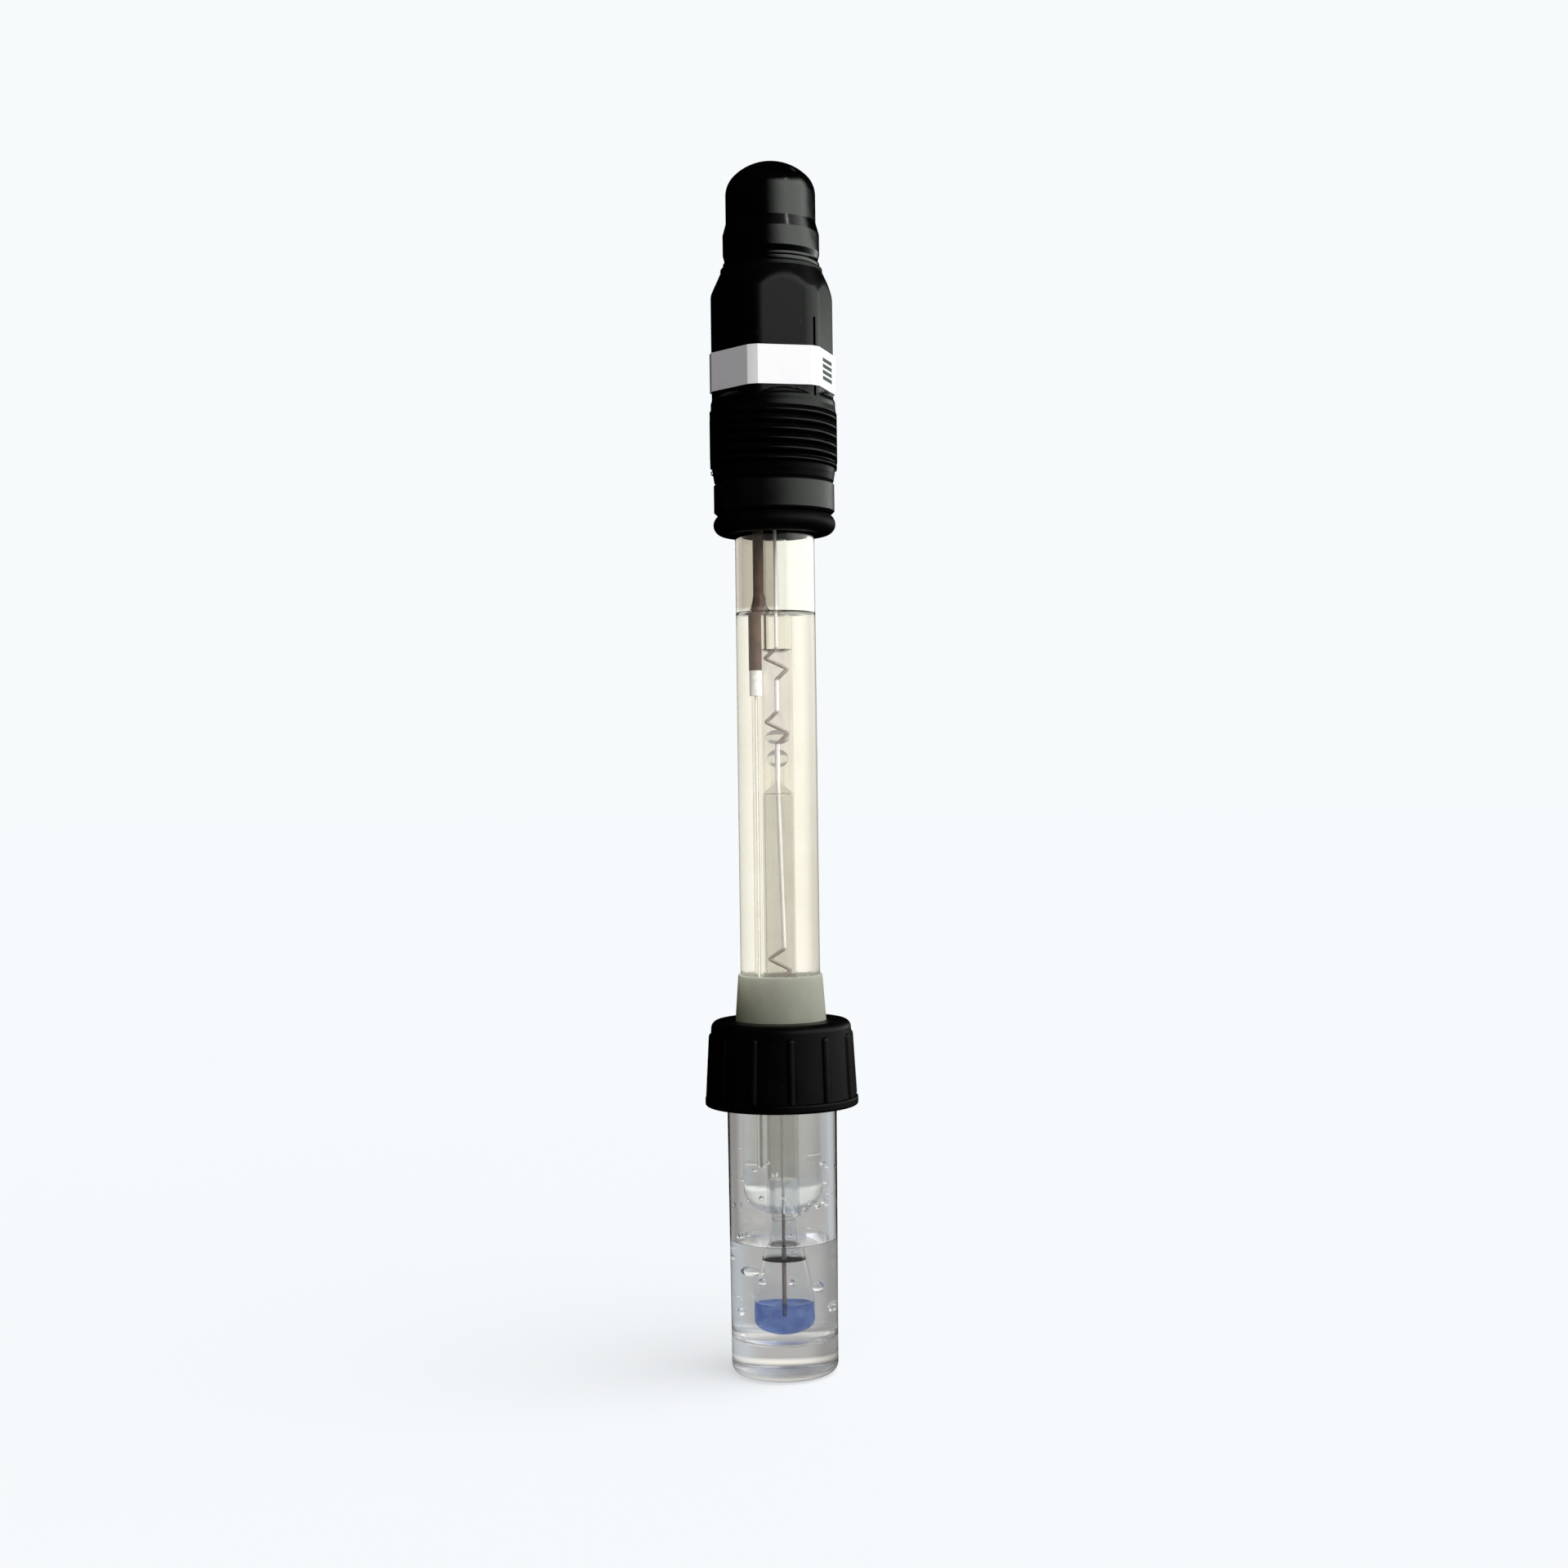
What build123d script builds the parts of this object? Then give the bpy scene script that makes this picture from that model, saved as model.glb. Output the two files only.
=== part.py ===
from build123d import *
import math
import os

# Process pH electrode standing in its storage vial.
# Frame: millimetres, +Z up along the shaft, Z = 0 on the vial's base, the front faces -Y.

# Glass shaft and what it carries
shaft_radius = 6.0
shaft_wall = 1.0
shaft_end_radius = 4.0
shaft_end_above_tip = 18.0
shaft_in_head = 18.0
insertion_length = 120.0
tip_gap = 0.8

# Inner tube and the sensing bulb blown at its end
inner_tube_radius = 1.8
inner_tube_wall = 0.3
inner_tube_short = 3.0
bulb_radius = 3.4
bulb_corner_radius = 1.7
bulb_belly_height = 2.2
bulb_stem_radius = 2.75
bulb_stem_height = 9.6
bulb_neck_height = 16.8
glass_seal_gap = 0.01

# Fillings
gel_gap = 0.02
bulb_fill_height = 4.7
bubble_height = 6.3
buffer_fill_height = 23.1
column_length = 57.7
column_shoulder = 1.4
column_neck_radius = 0.75
column_neck_length = 2.8
lower_bead_radius = 1.2
lower_bead_height = 2.7
upper_bead_radius = 1.35
upper_bead_height = 2.2
bead_spacing = 3.2
buffer_above_bead = 12.1
reference_fill_height = 108.4
meniscus_rise = 0.5

# Silver leads
lead_radius = 0.18
lead_bend_radius = 0.3
lead_swing = 1.15
lead_play = 0.02
lead_dip = 2.0
kink_heights = (56.2, 91.8, 101.4)
kink_drop = 1.6
reference_lead_radius = 0.12

# Reference cartridge, off the axis
cartridge_x = -2.5
cartridge_y = -1.0
cartridge_sleeve_radius = 0.8
cartridge_plug_radius = 0.75
cartridge_plug_length = 3.8
capillary_radius = 0.5
capillary_wall = 0.16
capillary_length = 70.8
cartridge_bottom = 25.0
cartridge_play = 0.02
junction_radius = 0.5
junction_above_tip = 24.0
junction_angle = 180.0

# Sealing ring, thrust ring and plug head
o_ring_section = 3.2
o_ring_play = 0.02
thrust_radius = 9.1
thrust_height = 4.7
thrust_bore_play = 0.15
thrust_chamfer = 0.35
thrust_play = 0.05
thread_radius = 10.2
thread_length = 11.2
thread_lead_in = 3.4
thread_lead_radius = 9.0
thread_run_out = 0.8
relief_height = 1.0
hex_sides = 6
hex_width = 17.0
hex_corner_radius = 9.4
hex_turn = 12.3
hex_height = 19.4
hex_top_chamfer_width = 1.7
hex_top_chamfer_height = 3.7
hex_slot_width = 0.4
hex_slot_depth = 0.45
hex_slot_height = 11.4
rim_height = 0.6
cement_gap = 0.3
cement_play = 0.02
cement_setback = 0.8
potting_height = 5.0
potting_plug_depth = 6.0
potting_play = 0.04

# Label band round the hexagon
label_height = 5.8
label_thickness = 0.12
label_gap = 0.02
label_lift = 0.4

# Coaxial connector under the boot
connector_tail_radius = 4.6
connector_flange_radius = 6.05
connector_flange_height = 1.3
connector_groove_root = 4.45
connector_groove_width = 2.0
connector_thread_radius = 5.5
connector_height = 10.8
connector_socket_radius = 3.6
connector_socket_depth = 7.4
connector_edge = 0.4
connector_seal_section = 1.8
insulator_bore_radius = 2.2
insulator_flange_height = 1.2
insulator_post_radius = 1.7
insulator_post_height = 4.6
insulator_play = 0.03
contact_radius = 0.75
contact_reach = 1.0
contact_play = 0.02

# Dip-moulded boot
boot_wall = 1.0
boot_seat_gap = 0.05
boot_rim_radius = 7.3
boot_bulge_height = 5.1
boot_step_height = 1.6
boot_step_radius = 1.1
boot_upper_radius = 6.8
boot_upper_height = 4.4
boot_dome_height = 5.1
boot_corner_radius = 3.9

# Storage vial
vial_floor = 5.2
vial_body_height = 40.0
vial_wall = 1.25
vial_draft = 0.25
vial_edge_fillet = 1.4
vial_floor_fillet = 1.2
vial_neck_wall = 0.95
vial_neck_height = 10.0
vial_rim_fillet = 0.25

# Seal sleeve gripping the shaft
seal_play = 0.06
seal_skirt_wall = 0.84
seal_skirt_play = 0.1
seal_skirt_length = 4.5
seal_flange_radius = 8.2
seal_flange_height = 1.5
seal_seat_gap = 0.05
seal_collar_base_wall = 0.79
seal_collar_top_wall = 0.3
seal_collar_height = 6.8
seal_edge_fillet = 0.12

# Screw ring clamping the seal to the vial
ring_gap = 0.2
ring_web = 1.4
ring_hole_play = 0.15
ring_thread_room = 1.05
ring_base_radius = 11.15
ring_top_radius = 10.5
ring_edge_fillet = 1.2
ring_lip_radius = 11.55
ring_lip_height = 1.4
ring_lip_fillet = 0.35
rib_count = 12
rib_radius = 0.7
rib_height = 0.35
rib_top_gap = 2.4
rib_turn = 7.3

# Heights worked out from the driving dimensions
front_angle = -90.0
tip_z = vial_floor + tip_gap
shaft_end_z = tip_z + shaft_end_above_tip
o_ring_base_z = tip_z + insertion_length
thrust_base_z = o_ring_base_z + o_ring_section
thread_base_z = thrust_base_z + thrust_height
relief_z = thread_base_z + thread_length
hex_base_z = relief_z + relief_height
head_top_z = hex_base_z + hex_height + rim_height
shaft_top_z = thread_base_z + shaft_in_head
potting_top_z = shaft_top_z + potting_height
connector_top_z = head_top_z + connector_height
socket_floor_z = connector_top_z - connector_socket_depth
boot_base_z = head_top_z + boot_seat_gap
vial_rim_z = vial_body_height + vial_neck_height
seal_base_z = vial_rim_z + seal_seat_gap
ring_base_z = vial_body_height + ring_gap
ring_ceiling_z = seal_base_z + seal_flange_height + seal_seat_gap
ring_top_z = ring_ceiling_z + ring_web
seal_top_z = ring_top_z + seal_collar_height

# Radii that one piece takes from another
shaft_bore = shaft_radius - shaft_wall
inner_bore = inner_tube_radius - inner_tube_wall
head_bore = shaft_radius + cement_gap
hex_apothem = hex_width / 2
rim_radius = hex_corner_radius - hex_top_chamfer_width
seal_bore = shaft_radius + seal_play
seal_skirt_radius = seal_bore + seal_skirt_wall
seal_collar_radius = seal_bore + seal_collar_base_wall
vial_bore = seal_skirt_radius + seal_skirt_play
vial_neck_radius = vial_bore + vial_neck_wall
vial_top_radius = vial_bore + vial_wall
vial_base_radius = vial_top_radius - vial_draft
ring_hole = seal_collar_radius + ring_hole_play
ring_bore = vial_neck_radius + ring_thread_room

# Heights inside the glass
bulb_belly_z = tip_z + bulb_belly_height
bulb_neck_z = tip_z + bulb_neck_height
bulb_fill_z = tip_z + bulb_fill_height
bubble_top_z = bulb_fill_z + bubble_height
buffer_top_z = tip_z + buffer_fill_height
column_shoulder_z = buffer_top_z + column_length
column_neck_z = column_shoulder_z + column_shoulder
lower_bead_z = column_neck_z + column_neck_length + lower_bead_height / 2
upper_bead_z = lower_bead_z + bead_spacing
inner_fill_z = upper_bead_z + upper_bead_height / 2 + buffer_above_bead
reference_fill_z = tip_z + reference_fill_height
inner_tube_top_z = shaft_top_z - inner_tube_short
capillary_base_z = tip_z + cartridge_bottom
cartridge_plug_z = capillary_base_z + capillary_length
cartridge_sleeve_z = cartridge_plug_z + cartridge_plug_length
potting_plug_z = shaft_top_z - potting_plug_depth


def turned(*outline):
    """Solid of revolution about Z from a closed outline of (radius, height) edges."""
    return revolve(Plane.XZ * make_face(outline), Axis.Z)


def turned_corners(corners, radii):
    """Solid of revolution from the corners of a closed outline and their fillet radii."""
    return turned(*FilletPolyline(*corners, radius=radii, close=True).edges())


def dome(radius, corner, height, base_z, way):
    """Edges of a domed end, a corner arc and a flatter crown arc, upwards (way 1) or downwards (way -1)."""
    hub = radius - corner
    crown = (hub**2 + height**2 - corner**2) / (2 * (height - corner))
    crown_z = base_z + way * (height - crown)
    meet = math.degrees(math.atan2(crown - height, hub))
    corner_arc = CenterArc((hub, base_z), corner, 0, way * meet)
    return [corner_arc, CenterArc((0, crown_z), crown, way * meet, way * (90 - meet))]


def tube(outer, inner, bottom, top):
    """Plain tube about Z."""
    return turned_corners([(inner, bottom), (outer, bottom), (outer, top), (inner, top)], [0] * 4)


def rod(radius, bottom, top, x=0.0, y=0.0):
    """Plain upright rod."""
    return extrude(Pos(x, y, bottom) * Circle(radius), top - bottom)


def hex_section(apothem, corner_radius):
    """Hexagon turned towards the front right, its corners cut back to a circle."""
    hexagon = RegularPolygon(apothem, hex_sides, major_radius=False, rotation=hex_turn)
    return hexagon & Circle(corner_radius)


def storage_vial():
    """Clear vial with a thick base and a narrower threaded neck."""
    corners = [
        (0, 0),
        (vial_base_radius, 0),
        (vial_top_radius, vial_body_height),
        (vial_neck_radius, vial_body_height),
        (vial_neck_radius, vial_rim_z),
        (vial_bore, vial_rim_z),
        (vial_bore, vial_floor),
        (0, vial_floor),
    ]
    rim = vial_rim_fillet
    return turned_corners(corners, [0, vial_edge_fillet, rim, 0, rim, rim, vial_floor_fillet, 0])


def ring_rib():
    """One half-round grip rib on the ring's tapered wall, with a rounded top end."""
    foot_z = ring_base_z + ring_lip_height
    slope = (ring_top_radius - ring_base_radius) / (ring_top_z - foot_z)
    sink = rib_radius - rib_height
    head_z = ring_top_z - rib_top_gap
    foot = Vector(ring_base_radius - sink, 0, foot_z)
    head = Vector(ring_base_radius - sink + slope * (head_z - foot_z), 0, head_z)
    run = head - foot
    shank = extrude(Plane(foot, z_dir=run) * Circle(rib_radius), run.length)
    return shank + Pos(head) * Sphere(rib_radius)


def screw_ring():
    """Screw ring with a foot lip, twelve grip ribs and a hole for the seal's collar."""
    foot_z = ring_base_z + ring_lip_height
    corners = [
        (ring_hole, ring_ceiling_z),
        (ring_bore, ring_ceiling_z),
        (ring_bore, ring_base_z),
        (ring_lip_radius, ring_base_z),
        (ring_lip_radius, foot_z),
        (ring_base_radius, foot_z),
        (ring_top_radius, ring_top_z),
        (ring_hole, ring_top_z),
    ]
    lip = ring_lip_fillet
    ring = turned_corners(corners, [0, 0, 0, lip, lip, 0, ring_edge_fillet, 0])
    rib = ring_rib()
    for place in PolarLocations(0, rib_count, start_angle=front_angle + rib_turn):
        ring += place * rib
    return ring


def seal_sleeve():
    """Soft sleeve: a skirt in the vial's neck, a clamped flange and a tapered collar."""
    flange_top_z = seal_base_z + seal_flange_height
    skirt_z = vial_rim_z - seal_skirt_length
    corners = [
        (seal_bore, skirt_z),
        (seal_skirt_radius, skirt_z),
        (seal_skirt_radius, seal_base_z),
        (seal_flange_radius, seal_base_z),
        (seal_flange_radius, flange_top_z),
        (seal_collar_radius, flange_top_z),
        (seal_collar_radius, ring_top_z),
        (seal_bore + seal_collar_top_wall, seal_top_z),
        (seal_bore, seal_top_z),
    ]
    edge = seal_edge_fillet
    return turned_corners(corners, [0, edge, 0, edge, edge, 0, 0, edge, 0])


def outer_tube():
    """Glass shaft, its lower end rounded in towards the inner tube and pierced for the junction."""
    seal = inner_tube_radius + glass_seal_gap
    inner_end_z = shaft_end_z + shaft_wall
    corners = [
        (seal, shaft_end_z),
        (shaft_radius, shaft_end_z),
        (shaft_radius, shaft_top_z),
        (shaft_bore, shaft_top_z),
        (shaft_bore, inner_end_z),
        (seal, inner_end_z),
    ]
    shaft = turned_corners(corners, [0, shaft_end_radius, 0, 0, shaft_end_radius - shaft_wall, 0])
    return shaft - junction_pin(shaft_radius + shaft_wall)


def junction_pin(outer_radius):
    """Round pin through the shaft's wall, from its bore out to a given radius."""
    place = Pos(0, 0, tip_z + junction_above_tip) * Rot(0, 0, junction_angle) * Pos(shaft_bore, 0, 0)
    return place * extrude(Plane.YZ * Circle(junction_radius), outer_radius - shaft_bore)


def ceramic_junction():
    """Porous pin, flush with the shaft's outer wall."""
    return junction_pin(shaft_radius + shaft_wall) & tube(shaft_radius, shaft_bore, 0, shaft_top_z)


def inner_tube():
    """Straight inner tube, closed below by the sensing bulb."""
    return tube(inner_tube_radius, inner_bore, bulb_neck_z, inner_tube_top_z)


def bulb_outline(offset, top_z):
    """Edges of the bulb's outline from its tip up to the neck, set in by an offset."""
    neck = (inner_tube_radius - offset, bulb_neck_z)
    stem = (bulb_stem_radius - offset, tip_z + bulb_stem_height)
    belly = (bulb_radius - offset, bulb_belly_z)
    shoulder = Spline(neck, stem, belly, tangents=[(0, -1), (0, -1)])
    cap = dome(belly[0], bulb_corner_radius - offset, bulb_belly_height - offset, bulb_belly_z, -1)
    return [Line((neck[0], top_z), neck), shoulder, *cap]


def bulb_filling(offset, top_z):
    """Solid that fills the bulb's outline up to a height on the straight neck."""
    axis = Line((0, tip_z + offset), (0, top_z))
    lid = Line((0, top_z), (inner_tube_radius - offset, top_z))
    return turned(*bulb_outline(offset, top_z), axis, lid)


def ph_bulb():
    """Thin pear-shaped glass bulb."""
    over = inner_tube_wall
    shell = bulb_filling(0, bulb_neck_z + over) - bulb_filling(inner_tube_wall, bulb_neck_z + 2 * over)
    return shell & rod(shaft_radius, 0, bulb_neck_z)


def lead_path():
    """Route of the inner lead from the contact down the axis, kinked side to side three times."""
    points = [(0, 0, potting_top_z)]
    for height in reversed(kink_heights):
        bend_z = tip_z + height
        points += [
            (0, 0, bend_z + kink_drop),
            (-lead_swing, 0, bend_z),
            (lead_swing, 0, bend_z - kink_drop),
            (0, 0, bend_z - 2 * kink_drop),
        ]
    points.append((0, 0, bulb_fill_z - lead_dip))
    return FilletPolyline(*points, radius=lead_bend_radius)


def lead_solid(radius):
    """Round wire of a given radius along the inner lead's route."""
    start = Plane((0, 0, potting_top_z), z_dir=(0, 0, -1))
    return sweep(start * Circle(radius), path=lead_path())


def bulb_gel():
    """Gel that fills the bulb and the foot of the inner tube."""
    return bulb_filling(inner_tube_wall + gel_gap, buffer_top_z)


def bulb_buffer():
    """Coloured gel in the lower part of the bulb."""
    return bulb_gel() & rod(shaft_radius, 0, bulb_fill_z)


def inner_buffer():
    """Clear gel above the bubble, from the bulb's stem up into the inner tube."""
    return bulb_gel() & rod(shaft_radius, bubble_top_z, buffer_top_z)


def bead(radius, height, centre_z):
    """Flattened round bead of gel on the axis."""
    return Pos(0, 0, centre_z) * scale(Sphere(1), by=(radius, radius, height / 2))


def gel_column_blank():
    """Bottle-shaped thick gel with two beads above its neck."""
    radius = inner_bore - gel_gap
    corners = [
        (0, buffer_top_z + gel_gap),
        (radius, buffer_top_z + gel_gap),
        (radius, column_shoulder_z),
        (column_neck_radius, column_neck_z),
        (column_neck_radius, lower_bead_z),
        (0, lower_bead_z),
    ]
    bottle = turned_corners(corners, [0, 0, column_shoulder / 2, column_shoulder / 3, 0, 0])
    lower = bead(lower_bead_radius, lower_bead_height, lower_bead_z)
    upper = bead(upper_bead_radius, upper_bead_height, upper_bead_z)
    link = rod(column_neck_radius, lower_bead_z, upper_bead_z)
    return bottle + lower + upper + link


def reference_cartridge_hole():
    """Room in the gel for the cartridge's capillary, plug and sleeve."""
    play = cartridge_play
    x = cartridge_x
    y = cartridge_y
    room = rod(capillary_radius + play, capillary_base_z, cartridge_plug_z, x, y)
    room += rod(cartridge_plug_radius + play, cartridge_plug_z, cartridge_sleeve_z, x, y)
    return room + rod(cartridge_sleeve_radius + play, cartridge_sleeve_z, shaft_top_z, x, y)


def reference_gel():
    """Clear gel round the inner tube, with a hollow meniscus on top."""
    wall = shaft_bore - gel_gap
    hub = inner_tube_radius + gel_gap
    floor_z = shaft_end_z + shaft_wall + gel_gap
    foot_radius = shaft_end_radius - shaft_wall
    foot = FilletPolyline(
        (hub, reference_fill_z),
        (hub, floor_z),
        (wall, floor_z),
        (wall, reference_fill_z),
        radius=[0, foot_radius],
    )
    middle = ((wall + hub) / 2, reference_fill_z - meniscus_rise)
    meniscus = ThreePointArc((wall, reference_fill_z), middle, (hub, reference_fill_z))
    return turned(*foot.edges(), meniscus) - reference_cartridge_hole()


def reference_capillary():
    """Fine glass capillary round the reference lead."""
    shell = rod(capillary_radius, capillary_base_z, cartridge_plug_z, cartridge_x, cartridge_y)
    bore = capillary_radius - capillary_wall
    return shell - rod(bore, capillary_base_z, cartridge_plug_z, cartridge_x, cartridge_y)


def cartridge_piece(radius, bottom, top):
    """Sleeve or plug on the cartridge's axis, bored for the reference lead."""
    bore = reference_lead_radius + lead_play
    body = rod(radius, bottom, top, cartridge_x, cartridge_y)
    return body - rod(bore, bottom, top, cartridge_x, cartridge_y)


def cartridge_sleeve_top():
    """Height where the sleeve ends inside the potting."""
    return shaft_top_z - potting_plug_depth / 2


def shaft_o_ring():
    """Round sealing ring on the shaft, under the thrust ring."""
    section = o_ring_section / 2
    centre = Pos(shaft_radius + o_ring_play + section, o_ring_base_z + section)
    return revolve(Plane.XZ * centre * Circle(section), Axis.Z)


def thrust_ring():
    """Slip ring between the sealing ring and the threaded head."""
    bore = shaft_radius + thrust_bore_play
    corners = [
        (bore, thrust_base_z),
        (thrust_radius - thrust_chamfer, thrust_base_z),
        (thrust_radius, thrust_base_z + thrust_chamfer),
        (thrust_radius, thread_base_z - thrust_play - thrust_chamfer),
        (thrust_radius - thrust_chamfer, thread_base_z - thrust_play),
        (bore, thread_base_z - thrust_play),
    ]
    return turned_corners(corners, [0] * 6)


def hex_cutter():
    """Ring of waste that leaves the six flats, ending below in a conical shoulder."""
    inside = hex_apothem / 2
    outside = 2 * hex_corner_radius
    cone_rise = hex_corner_radius - inside
    base_z = hex_base_z + hex_corner_radius - outside
    top_z = head_top_z + rim_height
    blank = turned_corners(
        [
            (inside, hex_base_z + cone_rise),
            (outside, base_z),
            (outside, top_z),
            (inside, top_z),
        ],
        [0] * 4,
    )
    prism = extrude(Pos(0, 0, base_z) * hex_section(hex_apothem, outside), 2 * (top_z - base_z))
    return blank - prism


def hex_slot():
    """Narrow upright slot on the corner to the right of the front flat."""
    corner_angle = front_angle + hex_turn + 180 / hex_sides
    place = Rot(0, 0, corner_angle) * Pos(hex_corner_radius, 0, hex_base_z)
    size = (2 * hex_slot_depth, hex_slot_width, hex_slot_height)
    return place * Box(*size, align=(Align.CENTER, Align.CENTER, Align.MIN))


def plug_head():
    """Moulded head: threaded barrel, relief, six flats, top chamfer and rim, bored for the glass."""
    chamfer_z = head_top_z - rim_height - hex_top_chamfer_height
    corners = [
        (head_bore, thread_base_z),
        (thread_lead_radius, thread_base_z),
        (thread_radius, thread_base_z + thread_lead_in),
        (thread_radius, relief_z - thread_run_out),
        (hex_corner_radius, relief_z),
        (hex_corner_radius, chamfer_z),
        (rim_radius, head_top_z - rim_height),
        (rim_radius, head_top_z),
        (connector_tail_radius, head_top_z),
        (connector_tail_radius, potting_top_z),
        (head_bore, potting_top_z),
    ]
    round_off = hex_top_chamfer_width / 2
    radii = [round_off if corner == (hex_corner_radius, chamfer_z) else 0 for corner in corners]
    return turned_corners(corners, radii) - hex_cutter() - hex_slot()


def label_band():
    """Thin label wrapped once round the hexagon."""
    bottom_z = hex_base_z + hex_corner_radius - hex_apothem + label_lift
    outer_grow = label_gap + label_thickness
    outer = hex_section(hex_apothem + outer_grow, hex_corner_radius + outer_grow)
    inner = hex_section(hex_apothem + label_gap, hex_corner_radius + label_gap)
    return extrude(Pos(0, 0, bottom_z) * (outer - inner), label_height)


def head_cement():
    """Cement between the shaft and the head's bore."""
    bottom_z = thread_base_z + cement_setback
    return tube(head_bore - cement_play, shaft_radius + cement_play, bottom_z, shaft_top_z)


def head_potting():
    """Stepped potting that closes the shaft and carries both leads to the connector."""
    corners = [
        (0, potting_plug_z),
        (shaft_bore - potting_play, potting_plug_z),
        (shaft_bore - potting_play, shaft_top_z + potting_play),
        (head_bore - potting_play, shaft_top_z + potting_play),
        (head_bore - potting_play, potting_top_z - potting_play),
        (0, potting_top_z - potting_play),
    ]
    body = turned_corners(corners, [0] * 6)
    body -= rod(inner_tube_radius + potting_play, potting_plug_z, inner_tube_top_z + potting_play)
    body -= rod(lead_radius + lead_play, potting_plug_z, potting_top_z)
    sleeve_top = cartridge_sleeve_top()
    play = cartridge_play
    body -= rod(cartridge_sleeve_radius + play, potting_plug_z, sleeve_top, cartridge_x, cartridge_y)
    lead_room = reference_lead_radius + lead_play
    return body - rod(lead_room, sleeve_top, potting_top_z, cartridge_x, cartridge_y)


def connector_shell():
    """Plated shell: tail in the head, flange, seal groove, threaded barrel and socket."""
    flange_z = head_top_z + connector_flange_height
    groove_z = flange_z + connector_groove_width
    corners = [
        (insulator_bore_radius, potting_top_z),
        (connector_tail_radius, potting_top_z),
        (connector_tail_radius, head_top_z),
        (connector_flange_radius, head_top_z),
        (connector_flange_radius, flange_z),
        (connector_groove_root, flange_z),
        (connector_groove_root, groove_z),
        (connector_thread_radius, groove_z),
        (connector_thread_radius, connector_top_z - connector_edge),
        (connector_thread_radius - connector_edge, connector_top_z),
        (connector_socket_radius, connector_top_z),
        (connector_socket_radius, socket_floor_z),
        (insulator_bore_radius, socket_floor_z),
    ]
    return turned_corners(corners, [0] * len(corners))


def connector_seal():
    """Round seal in the connector's groove."""
    section = connector_seal_section / 2
    middle_z = head_top_z + connector_flange_height + connector_groove_width / 2
    centre = Pos(connector_groove_root + o_ring_play + section, middle_z)
    return revolve(Plane.XZ * centre * Circle(section), Axis.Z)


def connector_insulator():
    """White insulator: stem through the shell, flange on the socket floor and a post."""
    play = insulator_play
    flange_z = socket_floor_z + insulator_flange_height
    bore = contact_radius + contact_play
    corners = [
        (bore, potting_top_z),
        (insulator_bore_radius - play, potting_top_z),
        (insulator_bore_radius - play, socket_floor_z + play),
        (connector_socket_radius - play, socket_floor_z + play),
        (connector_socket_radius - play, flange_z),
        (insulator_post_radius, flange_z),
        (insulator_post_radius, flange_z + insulator_post_height),
        (bore, flange_z + insulator_post_height),
    ]
    return turned_corners(corners, [0] * 8)


def centre_contact():
    """Plated contact pin with a rounded end."""
    post_z = socket_floor_z + insulator_flange_height + insulator_post_height
    corners = [
        (0, potting_top_z),
        (contact_radius, potting_top_z),
        (contact_radius, post_z + contact_reach),
        (0, post_z + contact_reach),
    ]
    return turned_corners(corners, [0, 0, contact_radius / 2, 0])


def boot_outline(offset):
    """Boot's outline from its rim to the crown, set in by an offset."""
    bulge_z = boot_base_z + boot_bulge_height
    step_z = bulge_z + boot_step_height
    dome_z = step_z + boot_upper_height
    rim = boot_rim_radius - offset
    upper = boot_upper_radius - offset
    wall = FilletPolyline(
        (rim, boot_base_z),
        (rim, bulge_z),
        (upper, step_z),
        (upper, dome_z),
        radius=boot_step_radius,
    )
    crown = dome(upper, boot_corner_radius - offset, boot_dome_height - offset, dome_z, 1)
    return [*wall.edges(), *crown], (0, dome_z + boot_dome_height - offset), (rim, boot_base_z)


def connector_boot():
    """Soft boot pulled over the connector, with a domed top."""
    outer, outer_crown, outer_rim = boot_outline(0)
    inner, inner_crown, inner_rim = boot_outline(boot_wall)
    return turned(*outer, Line(outer_crown, inner_crown), *inner, Line(inner_rim, outer_rim))


def write_parts():
    """Build every piece and write each to its own file."""
    lead_room = lead_solid(lead_radius + lead_play)
    column_blank = gel_column_blank()
    inner_fill = rod(inner_bore - gel_gap, column_shoulder_z, inner_fill_z)
    sleeve_top = cartridge_sleeve_top()
    sleeve_radius = cartridge_sleeve_radius
    pieces = {
        "connector_boot": connector_boot(),
        "connector_shell": connector_shell(),
        "connector_seal": connector_seal(),
        "connector_insulator": connector_insulator(),
        "centre_contact": centre_contact(),
        "plug_head": plug_head(),
        "label_band": label_band(),
        "head_potting": head_potting(),
        "head_cement": head_cement(),
        "thrust_ring": thrust_ring(),
        "shaft_o_ring": shaft_o_ring(),
        "outer_tube": outer_tube(),
        "inner_tube": inner_tube(),
        "ph_bulb": ph_bulb(),
        "bulb_buffer": bulb_buffer() - lead_room,
        "inner_buffer": inner_buffer() - lead_room,
        "gel_column": column_blank - lead_room,
        "upper_buffer": inner_fill - column_blank - lead_room,
        "inner_lead": lead_solid(lead_radius),
        "reference_gel": reference_gel(),
        "reference_sleeve": cartridge_piece(sleeve_radius, cartridge_sleeve_z, sleeve_top),
        "reference_plug": cartridge_piece(cartridge_plug_radius, cartridge_plug_z, cartridge_sleeve_z),
        "reference_capillary": reference_capillary(),
        "reference_lead": rod(
            reference_lead_radius, capillary_base_z, potting_top_z, cartridge_x, cartridge_y
        ),
        "ceramic_junction": ceramic_junction(),
        "storage_vial": storage_vial(),
        "seal_sleeve": seal_sleeve(),
        "screw_ring": screw_ring(),
    }
    os.makedirs("parts", exist_ok=True)
    for node, piece in pieces.items():
        export_step(piece, os.path.join("parts", node + ".step"))


write_parts()
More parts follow.
